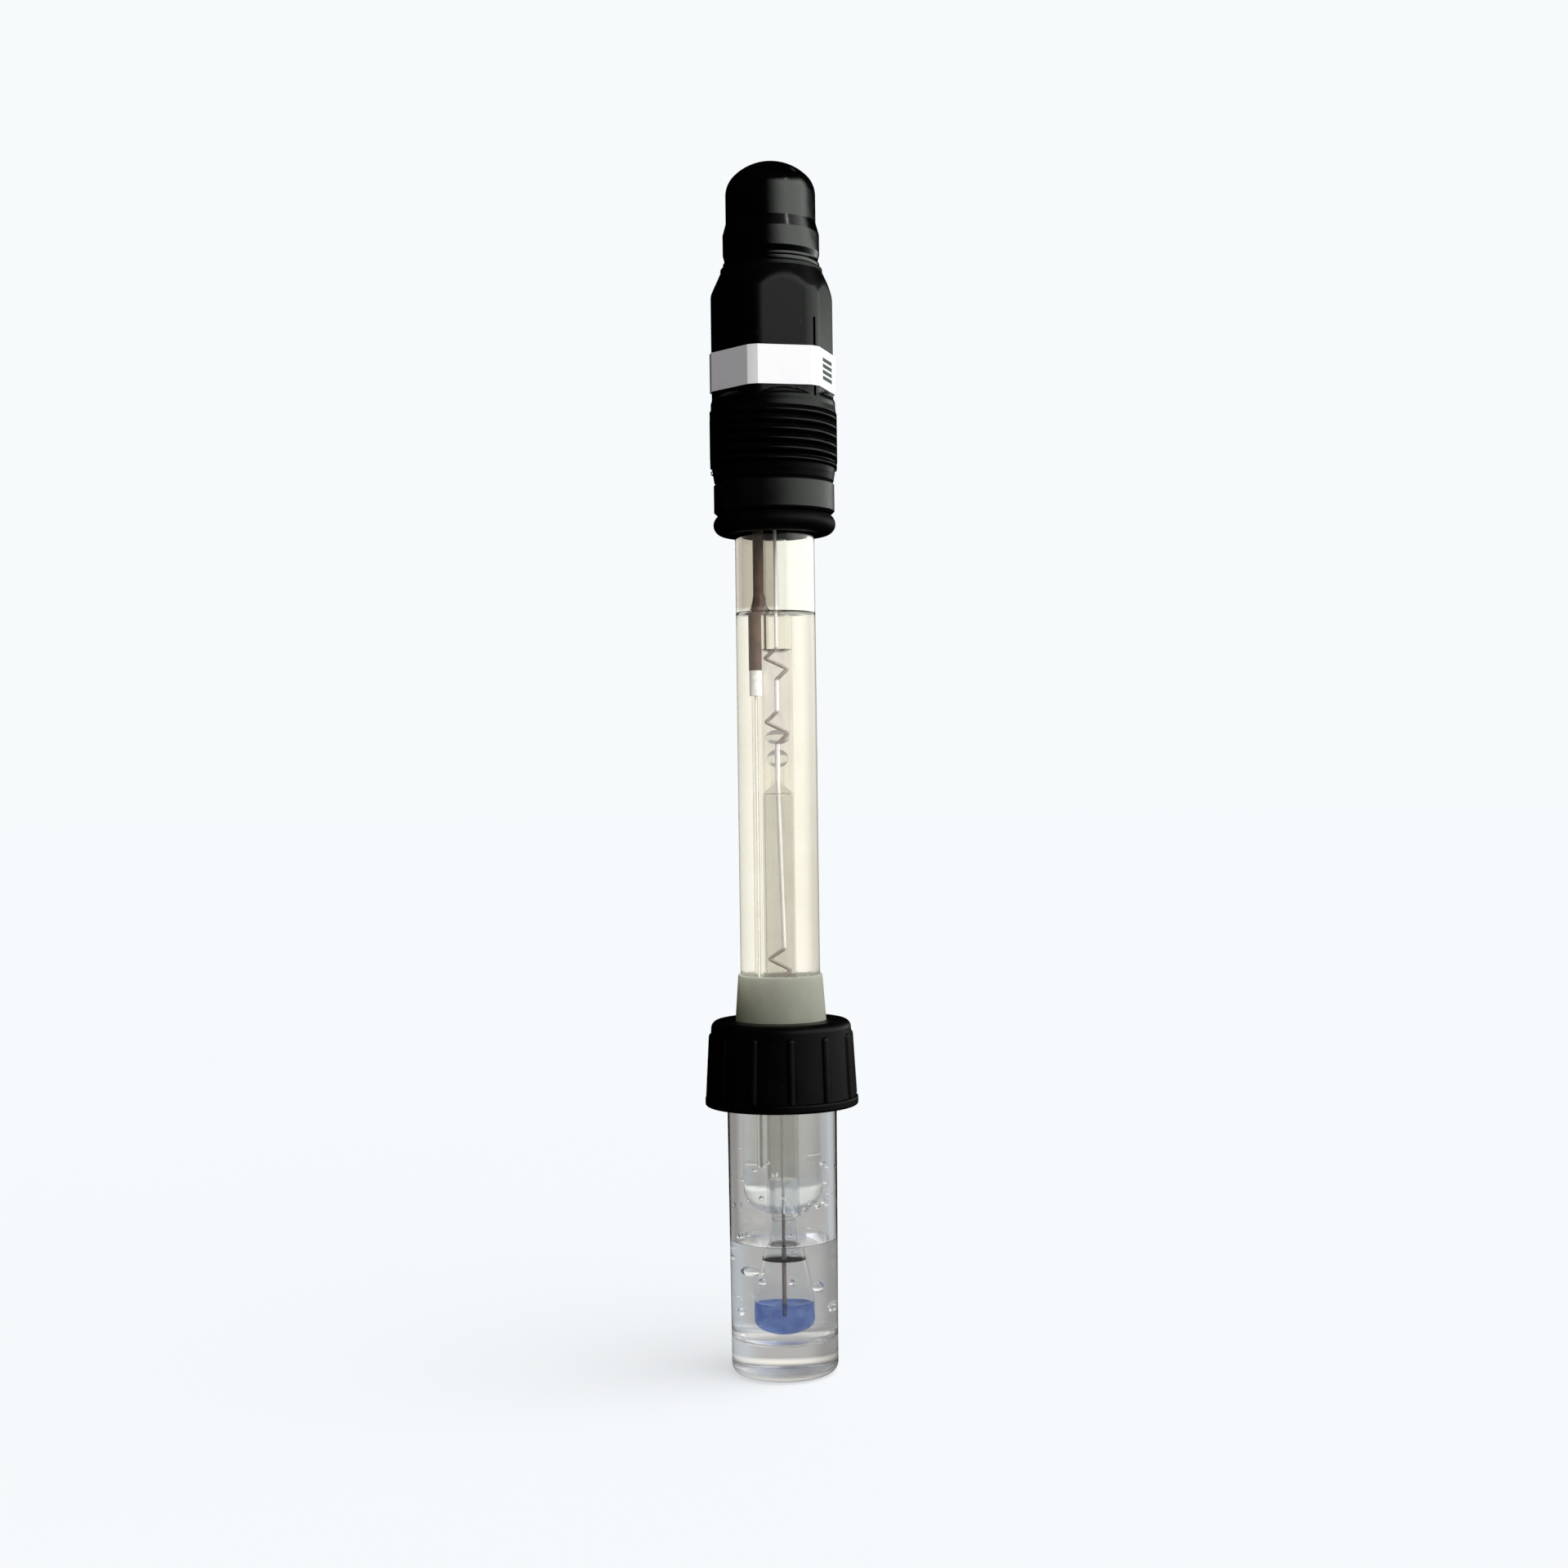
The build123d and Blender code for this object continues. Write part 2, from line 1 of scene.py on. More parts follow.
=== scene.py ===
"""Process pH electrode standing in its storage vial, dressed for a studio picture.

Sizes are millimetres in the part's frame: +Z up along the shaft, Z = 0 on the vial's base, front facing -Y.
Meshes are built in metres at the origin, each in its place.
"""

import logging
import math
from abc import ABC, abstractmethod
from dataclasses import dataclass, field
from enum import Enum
from typing import Callable, ClassVar, Iterable, Optional, Sequence, Union

import bmesh
import bpy
from mathutils import Matrix, Vector


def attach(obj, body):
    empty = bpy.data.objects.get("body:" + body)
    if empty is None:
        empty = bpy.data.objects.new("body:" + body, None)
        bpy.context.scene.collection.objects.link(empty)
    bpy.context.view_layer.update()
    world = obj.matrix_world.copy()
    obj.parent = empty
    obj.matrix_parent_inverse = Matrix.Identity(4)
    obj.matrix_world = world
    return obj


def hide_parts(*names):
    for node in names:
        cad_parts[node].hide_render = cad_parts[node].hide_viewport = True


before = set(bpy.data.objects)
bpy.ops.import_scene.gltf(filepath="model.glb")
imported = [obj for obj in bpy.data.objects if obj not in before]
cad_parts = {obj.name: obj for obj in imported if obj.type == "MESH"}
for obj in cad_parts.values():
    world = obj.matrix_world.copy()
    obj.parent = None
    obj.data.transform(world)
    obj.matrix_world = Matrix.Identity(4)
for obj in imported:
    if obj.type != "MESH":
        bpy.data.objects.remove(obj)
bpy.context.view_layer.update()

MM = 0.001
HAIR_MM = 0.01  # a gap or tolerance too small to see
SHARP_ANGLE = math.radians(32.0)  # edges from here on aren't shaded smooth
MERGE_DISTANCE = 1e-7
ON_AXIS_MM = 1e-6
WAVE_RATE = 20.0  # phase of the wave texture, in radians, per unit of its scale
FLAT_STEP = math.pi / 3.0  # from one flat of the head to the next
LOG = logging.getLogger("ph_electrode")

Colour = tuple[float, float, float]
Corner = tuple[float, float, float]
Stretch = tuple[float, float, float]
Point = tuple[float, float]
Reach = Callable[[float, float, float], float]
Value = Union["Wire", float, bool, str, Sequence[float], bpy.types.ID]


class Body(Enum):
    """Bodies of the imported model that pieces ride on."""

    ELECTRODE = "electrode"
    BOOT = "boot"
    VIAL = "vial"
    SEAL = "seal"


class Wire:
    """An output socket of a node graph, with arithmetic that adds Math nodes."""

    def __init__(self, graph: "Graph", socket: Optional[bpy.types.NodeSocket]) -> None:
        """Keeps the graph and the socket."""
        self.graph = graph
        self.socket = socket

    def math(self, operation: str, left: Value, right: Value = 0.0) -> "Wire":
        """Adds one Math node and gives its result."""
        return self.graph.add("ShaderNodeMath", {"operation": operation}, {0: left, 1: right})

    def __add__(self, other: Value) -> "Wire":
        """Sum."""
        return self.math("ADD", self, other)

    def __radd__(self, other: Value) -> "Wire":
        """Sum with a number on the left."""
        return self.math("ADD", other, self)

    def __sub__(self, other: Value) -> "Wire":
        """Difference."""
        return self.math("SUBTRACT", self, other)

    def __rsub__(self, other: Value) -> "Wire":
        """Difference with a number on the left."""
        return self.math("SUBTRACT", other, self)

    def __mul__(self, other: Value) -> "Wire":
        """Product."""
        return self.math("MULTIPLY", self, other)

    def __rmul__(self, other: Value) -> "Wire":
        """Product with a number on the left."""
        return self.math("MULTIPLY", other, self)

    def __truediv__(self, other: Value) -> "Wire":
        """Quotient."""
        return self.math("DIVIDE", self, other)

    def __rtruediv__(self, other: Value) -> "Wire":
        """Quotient with a number on the left."""
        return self.math("DIVIDE", other, self)

    def ramp(self, low: Value, high: Value, bottom: float = 0.0, top: float = 1.0) -> "Wire":
        """Smooth step from bottom to top as this value goes from low to high."""
        limits = {"Value": self, "From Min": low, "From Max": high, "To Min": bottom, "To Max": top}
        return self.graph.add("ShaderNodeMapRange", {"interpolation_type": "SMOOTHSTEP"}, limits)

    def band(self, low: float, high: float, soft: float) -> "Wire":
        """One between low and high and nought outside them, each edge twice as wide as soft."""
        return self.ramp(low - soft, low + soft) * (1.0 - self.ramp(high - soft, high + soft))

    def twin(self, output: Union[str, int]) -> "Wire":
        """Another output of the same node, by name or number."""
        return Wire(self.graph, self.socket.node.outputs[output])


class Graph:
    """A node tree that is filled by one node-making method."""

    def __init__(self, tree: bpy.types.NodeTree) -> None:
        """Keeps the tree."""
        self.tree = tree

    def add(
        self,
        kind: str,
        settings: Optional[dict[str, object]] = None,
        sockets: Optional[dict[Union[str, int], Value]] = None,
        output: Union[str, int] = 0,
    ) -> Wire:
        """Adds a node, sets it up and feeds it.

        Args:
            kind: Node type.
            settings: The node's own settings, set before its sockets.
            sockets: Values or wires by input name or number.
            output: Output to return, by name or number.

        Returns:
            That output, or an empty wire from a node that has none.
        """
        node = self.tree.nodes.new(kind)
        for name, value in (settings or {}).items():
            setattr(node, name, value)
        for key, value in (sockets or {}).items():
            if isinstance(value, Wire):
                self.tree.links.new(value.socket, node.inputs[key])
            else:
                node.inputs[key].default_value = value
        return Wire(self, node.outputs[output] if len(node.outputs) else None)

    def blend(self, factor: Value, first: Value, second: Value) -> Wire:
        """Mix of two colours, where the factor is the share of the second."""
        colours = {0: factor, 6: solid(first), 7: solid(second)}
        return self.add("ShaderNodeMix", {"data_type": "RGBA"}, colours, output=2)


class Paint(Graph):
    """Node graph of one material."""

    def __init__(self, name: str) -> None:
        """Makes an empty material.

        Args:
            name: The material's name.
        """
        self.material = bpy.data.materials.new(name)
        self.material.use_nodes = True
        super().__init__(self.material.node_tree)
        self.tree.nodes.clear()

    def place(self, stretch: Stretch = (1.0, 1.0, 1.0), turn: float = 0.0) -> Wire:
        """Object coordinates, stretched and turned about Z.

        Args:
            stretch: Scale along the three axes.
            turn: Angle in radians.

        Returns:
            The mapped coordinates.
        """
        coordinates = self.add("ShaderNodeTexCoord", output="Object")
        mapping = {"Vector": coordinates, "Rotation": (0.0, 0.0, turn), "Scale": stretch}
        return self.add("ShaderNodeMapping", {"vector_type": "POINT"}, mapping)

    def height(self) -> Wire:
        """Height in metres, the twin of X and Y."""
        return self.add("ShaderNodeSeparateXYZ", sockets={0: self.place()}, output="Z")

    def noise(self, size_mm: float, detail: float = 3.0, stretch: Stretch = (1.0, 1.0, 1.0)) -> Wire:
        """Noise from 0 to 1 about 0.5, with its largest grain and its octaves of finer grain."""
        sockets = {"Vector": self.place(stretch), "Scale": 1.0 / (size_mm * MM), "Detail": detail}
        return self.add("ShaderNodeTexNoise", sockets=sockets)

    def bump(self, height: Wire, depth_mm: float) -> Wire:
        """Surface normal bent by a height from 0 to 1 and its depth."""
        return self.add("ShaderNodeBump", sockets={"Height": height, "Distance": depth_mm * MM})

    def finish(self, **sockets: Value) -> bpy.types.Material:
        """Ends the graph in one Principled shader.

        Args:
            sockets: Its inputs, with underscores for spaces.

        Returns:
            The finished material.
        """
        named = {key.replace("_", " "): value for key, value in sockets.items()}
        shader = self.add("ShaderNodeBsdfPrincipled", sockets=named)
        self.add("ShaderNodeOutputMaterial", sockets={"Surface": shader})
        return self.material


def solid(colour: Value) -> Value:
    """A colour with full alpha, or the wire that was given."""
    return colour if isinstance(colour, Wire) else (*colour, 1.0)


@dataclass(frozen=True)
class Moulded:
    """Opaque plastic, rubber, resin or ceramic with its grain."""

    name: str
    colour: Colour
    shade: Colour
    roughness: float
    roughness_spread: float = 0.1
    patch_mm: float = 4.0
    patch_edges: Point = (0.35, 0.65)
    grain_mm: float = 0.25
    grain_depth_mm: float = 0.004
    specular: float = 0.5
    dust: float = 0.0
    dust_colour: Colour = (0.35, 0.34, 0.32)
    dust_edges: Point = (0.72, 0.8)
    scatter: float = 0.0
    scatter_mm: float = 4.0
    scatter_reach: Colour = (1.0, 1.0, 0.9)

    def material(self) -> bpy.types.Material:
        """Makes the finish.

        Returns:
            The material.
        """
        paint = Paint(self.name)
        patches = paint.noise(self.patch_mm, detail=4.0)
        grain = paint.noise(self.grain_mm, detail=2.0)
        colour = paint.blend(patches.ramp(*self.patch_edges), self.colour, self.shade)
        if self.dust:
            specks = paint.noise(2.0 * self.grain_mm, detail=1.0).ramp(*self.dust_edges, 0.0, self.dust)
            colour = paint.blend(specks, colour, self.dust_colour)
        return paint.finish(
            Base_Color=colour,
            Roughness=self.roughness + (patches - 0.5) * (2.0 * self.roughness_spread),
            Specular_IOR_Level=self.specular,
            Subsurface_Weight=self.scatter,
            Subsurface_Radius=self.scatter_reach,
            Subsurface_Scale=self.scatter_mm * MM,
            Normal=paint.bump(grain, self.grain_depth_mm),
        )


@dataclass(frozen=True)
class Clear:
    """Glass, clear plastic, gel or liquid with faint smears and ripples.

    A clear finish may also have a foot of another colour, a clearer top, a streaky painted shade on its left
    side, or a frosted foot.
    """

    name: str
    colour: Colour
    shade: Colour
    ior: float
    roughness: float = 0.0
    smear: float = 0.02
    smear_edges: Point = (0.45, 0.75)
    patch_mm: float = 6.0
    patch_edges: Point = (0.3, 0.7)
    ripple_mm: float = 9.0
    ripple_stretch: Stretch = (1.0, 1.0, 0.35)
    ripple_depth_mm: float = 0.01
    transmission: float = 1.0
    foot_z_mm: float = 0.0
    foot_fade_mm: float = 0.3
    foot_colour: Colour = (0.0, 0.0, 0.0)
    clear_above_mm: float = 0.0
    clear_soft_mm: float = 1.0
    clear_colour: Colour = (0.97, 0.97, 0.96)
    # Painted shade on the left side above a height, with a streaky, wavering edge.
    left_shade_from_mm: float = 0.0
    left_shade_fade_mm: float = 0.5
    left_shade_soft_mm: float = 0.6
    left_shade_waver_mm: float = 2.0
    left_shade_streak_mm: float = 1.6
    left_shade_stretch: Stretch = (1.0, 1.0, 0.06)
    left_shade_colour: Colour = (1.0, 1.0, 1.0)
    frost_below_mm: float = 0.0
    frost_soft_mm: float = 0.3
    frost: float = 0.45

    def film(self, paint: Paint) -> Wire:
        """Share of the painted shade: streaky, on the left and above a height.

        Args:
            paint: The material's graph.

        Returns:
            The share.
        """
        height = paint.height()
        streaks = paint.noise(self.left_shade_streak_mm, stretch=self.left_shade_stretch) - 0.5
        side = height.twin("X") + streaks * (self.left_shade_waver_mm * MM)
        left = 1.0 - side.ramp(-self.left_shade_soft_mm * MM, self.left_shade_soft_mm * MM)
        low = self.left_shade_from_mm * MM
        return left * height.ramp(low, low + self.left_shade_fade_mm * MM)

    def material(self) -> bpy.types.Material:
        """Makes the finish.

        Returns:
            The material.
        """
        paint = Paint(self.name)
        patches = paint.noise(self.patch_mm, detail=4.0)
        ripples = paint.noise(self.ripple_mm, detail=1.0, stretch=self.ripple_stretch)
        colour = paint.blend(patches.ramp(*self.patch_edges), self.colour, self.shade)
        # Painted shade: a streaky darker tint on the left side, standing in for shading there.
        if self.left_shade_from_mm:
            colour = paint.blend(self.film(paint), colour, self.left_shade_colour)
        # A foot of another colour. On the bulb gel it is a painted black line at the air bubble's meniscus.
        if self.foot_z_mm:
            low = self.foot_z_mm * MM
            foot = 1.0 - paint.height().ramp(low, low + self.foot_fade_mm * MM)
            colour = paint.blend(foot, colour, self.foot_colour)
        if self.clear_above_mm:
            middle = self.clear_above_mm * MM
            soft = self.clear_soft_mm * MM
            colour = paint.blend(paint.height().ramp(middle - soft, middle + soft), colour, self.clear_colour)
        rough = self.roughness + patches.ramp(*self.smear_edges, 0.0, self.smear)
        if self.frost_below_mm:
            high = self.frost_below_mm * MM
            rough = rough + paint.height().ramp(high - self.frost_soft_mm * MM, high, self.frost, 0.0)
        return paint.finish(
            Base_Color=colour,
            Roughness=rough,
            IOR=self.ior,
            Transmission_Weight=self.transmission,
            Normal=paint.bump(ripples, self.ripple_depth_mm),
        )


@dataclass(frozen=True)
class Metal:
    """Drawn or plated metal with lengthwise marks and some tarnish, dark or bare between some heights."""

    name: str
    colour: Colour
    tarnish: Colour
    roughness: float
    patch_mm: float = 3.0
    patch_edges: Point = (0.5, 0.75)
    mark_mm: float = 0.08
    mark_stretch: Stretch = (1.0, 1.0, 0.08)
    mark_edges: Point = (0.3, 0.7)
    mark_roughness: float = 0.15
    mark_depth_mm: float = 0.002
    metallic: float = 1.0
    dark: Colour = (0.36, 0.3, 0.265)
    dark_spans_mm: tuple[Point, ...] = ()
    bare_spans_mm: tuple[Point, ...] = ()
    span_soft_mm: float = 0.25

    def material(self) -> bpy.types.Material:
        """Makes the finish.

        Returns:
            The material.
        """
        paint = Paint(self.name)
        patches = paint.noise(self.patch_mm)
        marks = paint.noise(self.mark_mm, detail=2.0, stretch=self.mark_stretch)
        colour = paint.blend(patches.ramp(*self.patch_edges), self.colour, self.tarnish)
        metallic: Value = self.metallic
        soft = self.span_soft_mm * MM
        for low, high in self.dark_spans_mm:
            colour = paint.blend(paint.height().band(low * MM, high * MM, soft), colour, self.dark)
        for low, high in self.bare_spans_mm:
            metallic = metallic + paint.height().band(low * MM, high * MM, soft) * (1.0 - self.metallic)
        return paint.finish(
            Base_Color=colour,
            Metallic=metallic,
            Roughness=self.roughness + marks.ramp(*self.mark_edges, 0.0, self.mark_roughness),
            Normal=paint.bump(marks, self.mark_depth_mm),
        )


@dataclass(frozen=True)
class PrintedLabel:
    """White film label with a field of plain dark bars on the flat to the right of the front."""

    name: str
    film: Colour
    soiled: Colour
    ink: Colour
    field_angle: float
    field_half_width_mm: float
    field_low_mm: float
    field_high_mm: float
    field_soft_mm: float
    bar_mm: float
    bar_edges: Point = (0.2, 0.3)
    soil_mm: float = 3.0
    soil_edges: Point = (0.5, 0.8)
    weave_mm: float = 0.15
    weave_depth_mm: float = 0.002
    roughness: float = 0.38
    roughness_spread: float = 0.12
    specular: float = 0.4

    def material(self) -> bpy.types.Material:
        """Makes the finish.

        Returns:
            The material.
        """
        paint = Paint(self.name)
        turned = paint.place(turn=math.radians(-self.field_angle))
        outward = paint.add("ShaderNodeSeparateXYZ", sockets={0: turned}, output="X")
        soft = self.field_soft_mm * MM
        half = self.field_half_width_mm * MM
        width = outward.twin("Y").band(-half, half, soft)
        tall = outward.twin("Z").band(self.field_low_mm * MM, self.field_high_mm * MM, soft)
        rate = 2.0 * math.pi / (WAVE_RATE * self.bar_mm * MM)
        bars = paint.add(
            "ShaderNodeTexWave",
            {"wave_type": "BANDS", "bands_direction": "Z"},
            {"Vector": paint.place(), "Scale": rate, "Distortion": 0.0},
            output="Fac",
        )
        inked = outward.ramp(0.0, MM) * width * tall * bars.ramp(*self.bar_edges)
        soil = paint.noise(self.soil_mm, detail=4.0).ramp(*self.soil_edges)
        film = paint.blend(soil, self.film, self.soiled)
        weave = paint.noise(self.weave_mm, detail=2.0)
        return paint.finish(
            Base_Color=paint.blend(inked, film, self.ink),
            Roughness=self.roughness + weave * self.roughness_spread,
            Specular_IOR_Level=self.specular,
            Normal=paint.bump(weave, self.weave_depth_mm),
        )


@dataclass(frozen=True)
class Backdrop:
    """Plain pale floor with a very faint mottle."""

    name: str
    colour: Colour
    shade: Colour
    glow: float
    mottle_mm: float = 160.0
    roughness: float = 0.9
    roughness_spread: float = 0.1

    def material(self) -> bpy.types.Material:
        """Makes the finish, whose glow isn't a lamp to the part.

        Returns:
            The material.
        """
        paint = Paint(self.name)
        mottle = paint.noise(self.mottle_mm, detail=2.0)
        colour = paint.blend(mottle, self.colour, self.shade)
        ground = paint.finish(
            Base_Color=colour,
            Roughness=self.roughness - mottle * self.roughness_spread,
            Specular_IOR_Level=0.0,
            Emission_Color=colour,
            Emission_Strength=self.glow,
        )
        ground.cycles.emission_sampling = "NONE"
        return ground


Look = Union[Moulded, Clear, Metal, PrintedLabel, Backdrop]

HEAD_PLASTIC = Moulded("head_plastic", (0.0005, 0.0006, 0.0006), (0.0012, 0.0012, 0.0012), 0.3, 0.05,
                       patch_mm=5.0, grain_mm=0.2, grain_depth_mm=0.0035, specular=0.24, dust=0.06)
THREAD_PLASTIC = Moulded("thread_plastic", (0.0005, 0.0005, 0.0005), (0.0012, 0.0012, 0.0012), 0.3, 0.05,
                         patch_mm=3.0, grain_mm=0.15, grain_depth_mm=0.003, specular=0.22, dust=0.05)
BOOT_VINYL = Moulded("boot_vinyl", (0.0003, 0.0004, 0.0004), (0.0008, 0.0008, 0.0008), 0.17, 0.05,
                     patch_mm=3.5, grain_mm=1.6, grain_depth_mm=0.02, dust=0.05)
RING_PLASTIC = Moulded("ring_plastic", (0.0005, 0.0005, 0.0005), (0.001, 0.001, 0.001), 0.4, 0.06,
                       patch_mm=4.0, grain_mm=0.12, grain_depth_mm=0.004, specular=0.12, dust=0.04)
THRUST_PLASTIC = Moulded("thrust_plastic", (0.0012, 0.0014, 0.0014), (0.003, 0.0032, 0.003), 0.34, 0.06,
                         patch_mm=2.5, grain_mm=0.15, grain_depth_mm=0.003, specular=0.45)
SEAL_RUBBER = Moulded("seal_rubber", (0.0006, 0.0006, 0.0006), (0.0014, 0.0014, 0.0014), 0.5, 0.1,
                      patch_mm=1.5, grain_mm=0.1, grain_depth_mm=0.004, specular=0.1)
SEAL_SILICONE = Moulded("seal_silicone", (0.235, 0.24, 0.195), (0.265, 0.27, 0.22), 0.45, 0.05, patch_mm=6.0,
                        grain_mm=0.3, grain_depth_mm=0.003, specular=0.2, scatter=0.7, scatter_mm=3.0)
INSULATOR_WHITE = Moulded("insulator_white", (0.8, 0.8, 0.77), (0.72, 0.72, 0.69), 0.4, 0.08)
POTTING_RESIN = Moulded("potting_resin", (0.05, 0.045, 0.04), (0.08, 0.07, 0.06), 0.35, 0.1, patch_mm=1.5)
CEMENT = Moulded("cement", (0.55, 0.5, 0.42), (0.42, 0.38, 0.32), 0.8, 0.1, grain_depth_mm=0.02)
BROWN_SLEEVE = Moulded("brown_sleeve", (0.085, 0.05, 0.035), (0.13, 0.08, 0.055), 0.45, 0.1, patch_mm=1.2)
WHITE_PLUG = Moulded("white_plug", (0.9, 0.89, 0.85), (0.76, 0.75, 0.7), 0.7, 0.1, patch_mm=0.6,
                     grain_mm=0.08, grain_depth_mm=0.01)
JUNCTION_CERAMIC = Moulded("junction_ceramic", (0.2, 0.12, 0.075), (0.32, 0.2, 0.13), 0.85, 0.1, patch_mm=0.3,
                           grain_mm=0.05, grain_depth_mm=0.02)
# The index of what lies in glass, gel or liquid is set for what is round it.
SHAFT_GLASS = Clear("shaft_glass", (0.985, 0.99, 0.985), (0.965, 0.972, 0.96), 1.47)
# Painted shade: grey-brown darkening on the glass's left side above the gel's surface.
OUTER_GLASS = Clear("outer_glass", (0.985, 0.99, 0.985), (0.965, 0.972, 0.96), 1.47, left_shade_from_mm=114.6,
                    left_shade_colour=(0.69, 0.665, 0.625))
BULB_GLASS = Clear("bulb_glass", (0.97, 0.98, 0.985), (0.93, 0.945, 0.96), 1.12, ripple_mm=2.0)
CAPILLARY_GLASS = Clear("capillary_glass", (0.98, 0.98, 0.97), (0.95, 0.95, 0.93), 1.3)
VIAL_PLASTIC = Clear("vial_plastic", (0.975, 0.98, 0.985), (0.94, 0.95, 0.965), 1.5, ripple_depth_mm=0.03,
                     frost_below_mm=1.5)
CLEAR_GEL = Clear("clear_gel", (0.985, 0.97, 0.935), (0.97, 0.95, 0.91), 1.36, ripple_depth_mm=0.0,
                  foot_z_mm=26.0, foot_fade_mm=6.0, foot_colour=(0.84, 0.86, 0.9))
INNER_GEL = Clear("inner_gel", (0.93, 0.915, 0.965), (0.89, 0.875, 0.925), 1.36, ripple_depth_mm=0.0,
                  foot_z_mm=89.0, foot_fade_mm=6.0, foot_colour=(0.97, 0.96, 0.95))
GREY_GEL = Clear("grey_gel", (0.735, 0.725, 0.72), (0.69, 0.68, 0.675), 1.3, smear=0.01, patch_mm=4.0,
                 ripple_depth_mm=0.0)
NECK_GEL = Clear("neck_gel", (0.8, 0.79, 0.775), (0.75, 0.74, 0.73), 1.02, ripple_depth_mm=0.0,
                 clear_above_mm=88.6)
BEAD_GEL = Clear("bead_gel", (0.985, 0.98, 0.975), (0.95, 0.945, 0.94), 1.13, ripple_depth_mm=0.0)
# Painted shade: black at the gel's foot, where the air bubble's meniscus shows as a dark line.
BULB_GEL = Clear("bulb_gel", (0.97, 0.975, 0.98), (0.94, 0.95, 0.96), 1.005, ripple_depth_mm=0.0,
                 foot_z_mm=17.0, foot_fade_mm=0.8)
BLUE_GEL = Clear("blue_gel", (0.36, 0.54, 1.0), (0.17, 0.28, 0.8), 1.05, roughness=0.03, patch_mm=1.6,
                 ripple_depth_mm=0.0, transmission=0.85)
STORAGE_LIQUID = Clear("storage_liquid", (0.985, 0.987, 0.985), (0.965, 0.97, 0.97), 1.335, smear=0.0,
                       ripple_depth_mm=0.0)
DROPLET = Clear("droplet", (0.98, 0.985, 0.985), (0.95, 0.96, 0.96), 1.33, ripple_depth_mm=0.0)
BUBBLE = Clear("bubble", (0.99, 0.99, 0.99), (0.97, 0.975, 0.98), 1.3, ripple_depth_mm=0.0)
SILVER = Metal("silver", (0.98, 0.975, 0.96), (0.93, 0.92, 0.9), 0.25, metallic=0.3)
LEAD_WIRE = Metal("lead_wire", (0.98, 0.975, 0.96), (0.93, 0.92, 0.9), 0.25, metallic=0.3,
                  dark_spans_mm=((7.75, 23.75), (58.95, 63.85), (94.55, 99.45), (104.15, 109.05)),
                  bare_spans_mm=((24.25, 52.25),))
PLATED_BRASS = Metal("plated_brass", (0.66, 0.63, 0.57), (0.5, 0.45, 0.37), 0.28)
CONTACT_PLATING = Metal("contact_plating", (0.82, 0.6, 0.24), (0.6, 0.42, 0.16), 0.22)
LABEL_FILM = PrintedLabel("label_film", (0.97, 0.965, 0.97), (0.94, 0.925, 0.94), (0.02, 0.03, 0.028),
                          field_angle=-17.7, field_half_width_mm=2.4, field_low_mm=148.4, field_high_mm=152.0,
                          field_soft_mm=0.02, bar_mm=0.9)
FLOOR = Backdrop("floor", (0.272, 0.279, 0.284), (0.27, 0.277, 0.282), glow=2.05)


def rounded(corners: Sequence[Corner], steps: int = 8) -> list[Point]:
    """Outline with rounded corners.

    Args:
        corners: Radius, height and fillet radius of each corner, in mm, in order.
        steps: Pieces in each fillet.

    Returns:
        Radius and height of each point, in mm.
    """
    points: list[Point] = []
    for index, (radius, height, fillet) in enumerate(corners):
        here = Vector((radius, height))
        if fillet <= 0.0:
            points.append((radius, height))
            continue
        before = Vector(corners[index - 1][:2]) - here
        after = Vector(corners[(index + 1) % len(corners)][:2]) - here
        half = before.angle(after) / 2.0
        reach = fillet / math.tan(half)
        start = here + before.normalized() * reach
        end = here + after.normalized() * reach
        centre = here + (before.normalized() + after.normalized()).normalized() * (fillet / math.sin(half))
        sweep = (start - centre).angle_signed(end - centre)
        for step in range(steps + 1):
            spoke = (start - centre).copy()
            spoke.rotate(Matrix.Rotation(-sweep * step / steps, 2))
            points.append(tuple(centre + spoke))
    return points


def bow(start: Point, end: Point, rise: float, steps: int = 12) -> list[Point]:
    """Points of a shallow arch between two points, without the first.

    Args:
        start: Radius and height where it starts, in mm.
        end: Radius and height where it ends, in mm.
        rise: Height of the arch's middle above the straight line, in mm.
        steps: Pieces in the arch.

    Returns:
        Radius and height of each point, in mm.
    """
    points: list[Point] = []
    for step in range(1, steps + 1):
        share = step / steps
        lift = rise * 4.0 * share * (1.0 - share)
        radius = start[0] + (end[0] - start[0]) * share
        points.append((radius, start[1] + (end[1] - start[1]) * share + lift))
    return points


def dome(radius: float, corner: float, height: float, base_z: float, steps: int = 14) -> list[Point]:
    """Points of a domed end from the wall to the axis: a corner arc running into a flatter crown arc.

    Args:
        radius: Radius of the wall, in mm.
        corner: Radius of the corner arc, in mm.
        height: Height of the dome, in mm, below 0 for one that hangs down.
        base_z: Height of the wall's end, in mm.
        steps: Pieces in each arc.

    Returns:
        Radius and height of each point, in mm.
    """
    way = math.copysign(1.0, height)
    rise = abs(height)
    hub = radius - corner
    crown = (hub**2 + rise**2 - corner**2) / (2.0 * (rise - corner))
    meet = math.atan2(crown - rise, hub)
    points: list[Point] = []
    for step in range(steps + 1):
        angle = meet * step / steps
        points.append((hub + corner * math.cos(angle), base_z + way * corner * math.sin(angle)))
    for step in range(1, steps + 1):
        angle = meet + (math.pi / 2.0 - meet) * step / steps
        points.append((crown * math.cos(angle), base_z + way * (rise - crown + crown * math.sin(angle))))
    points[-1] = (0.0, base_z + height)
    return points


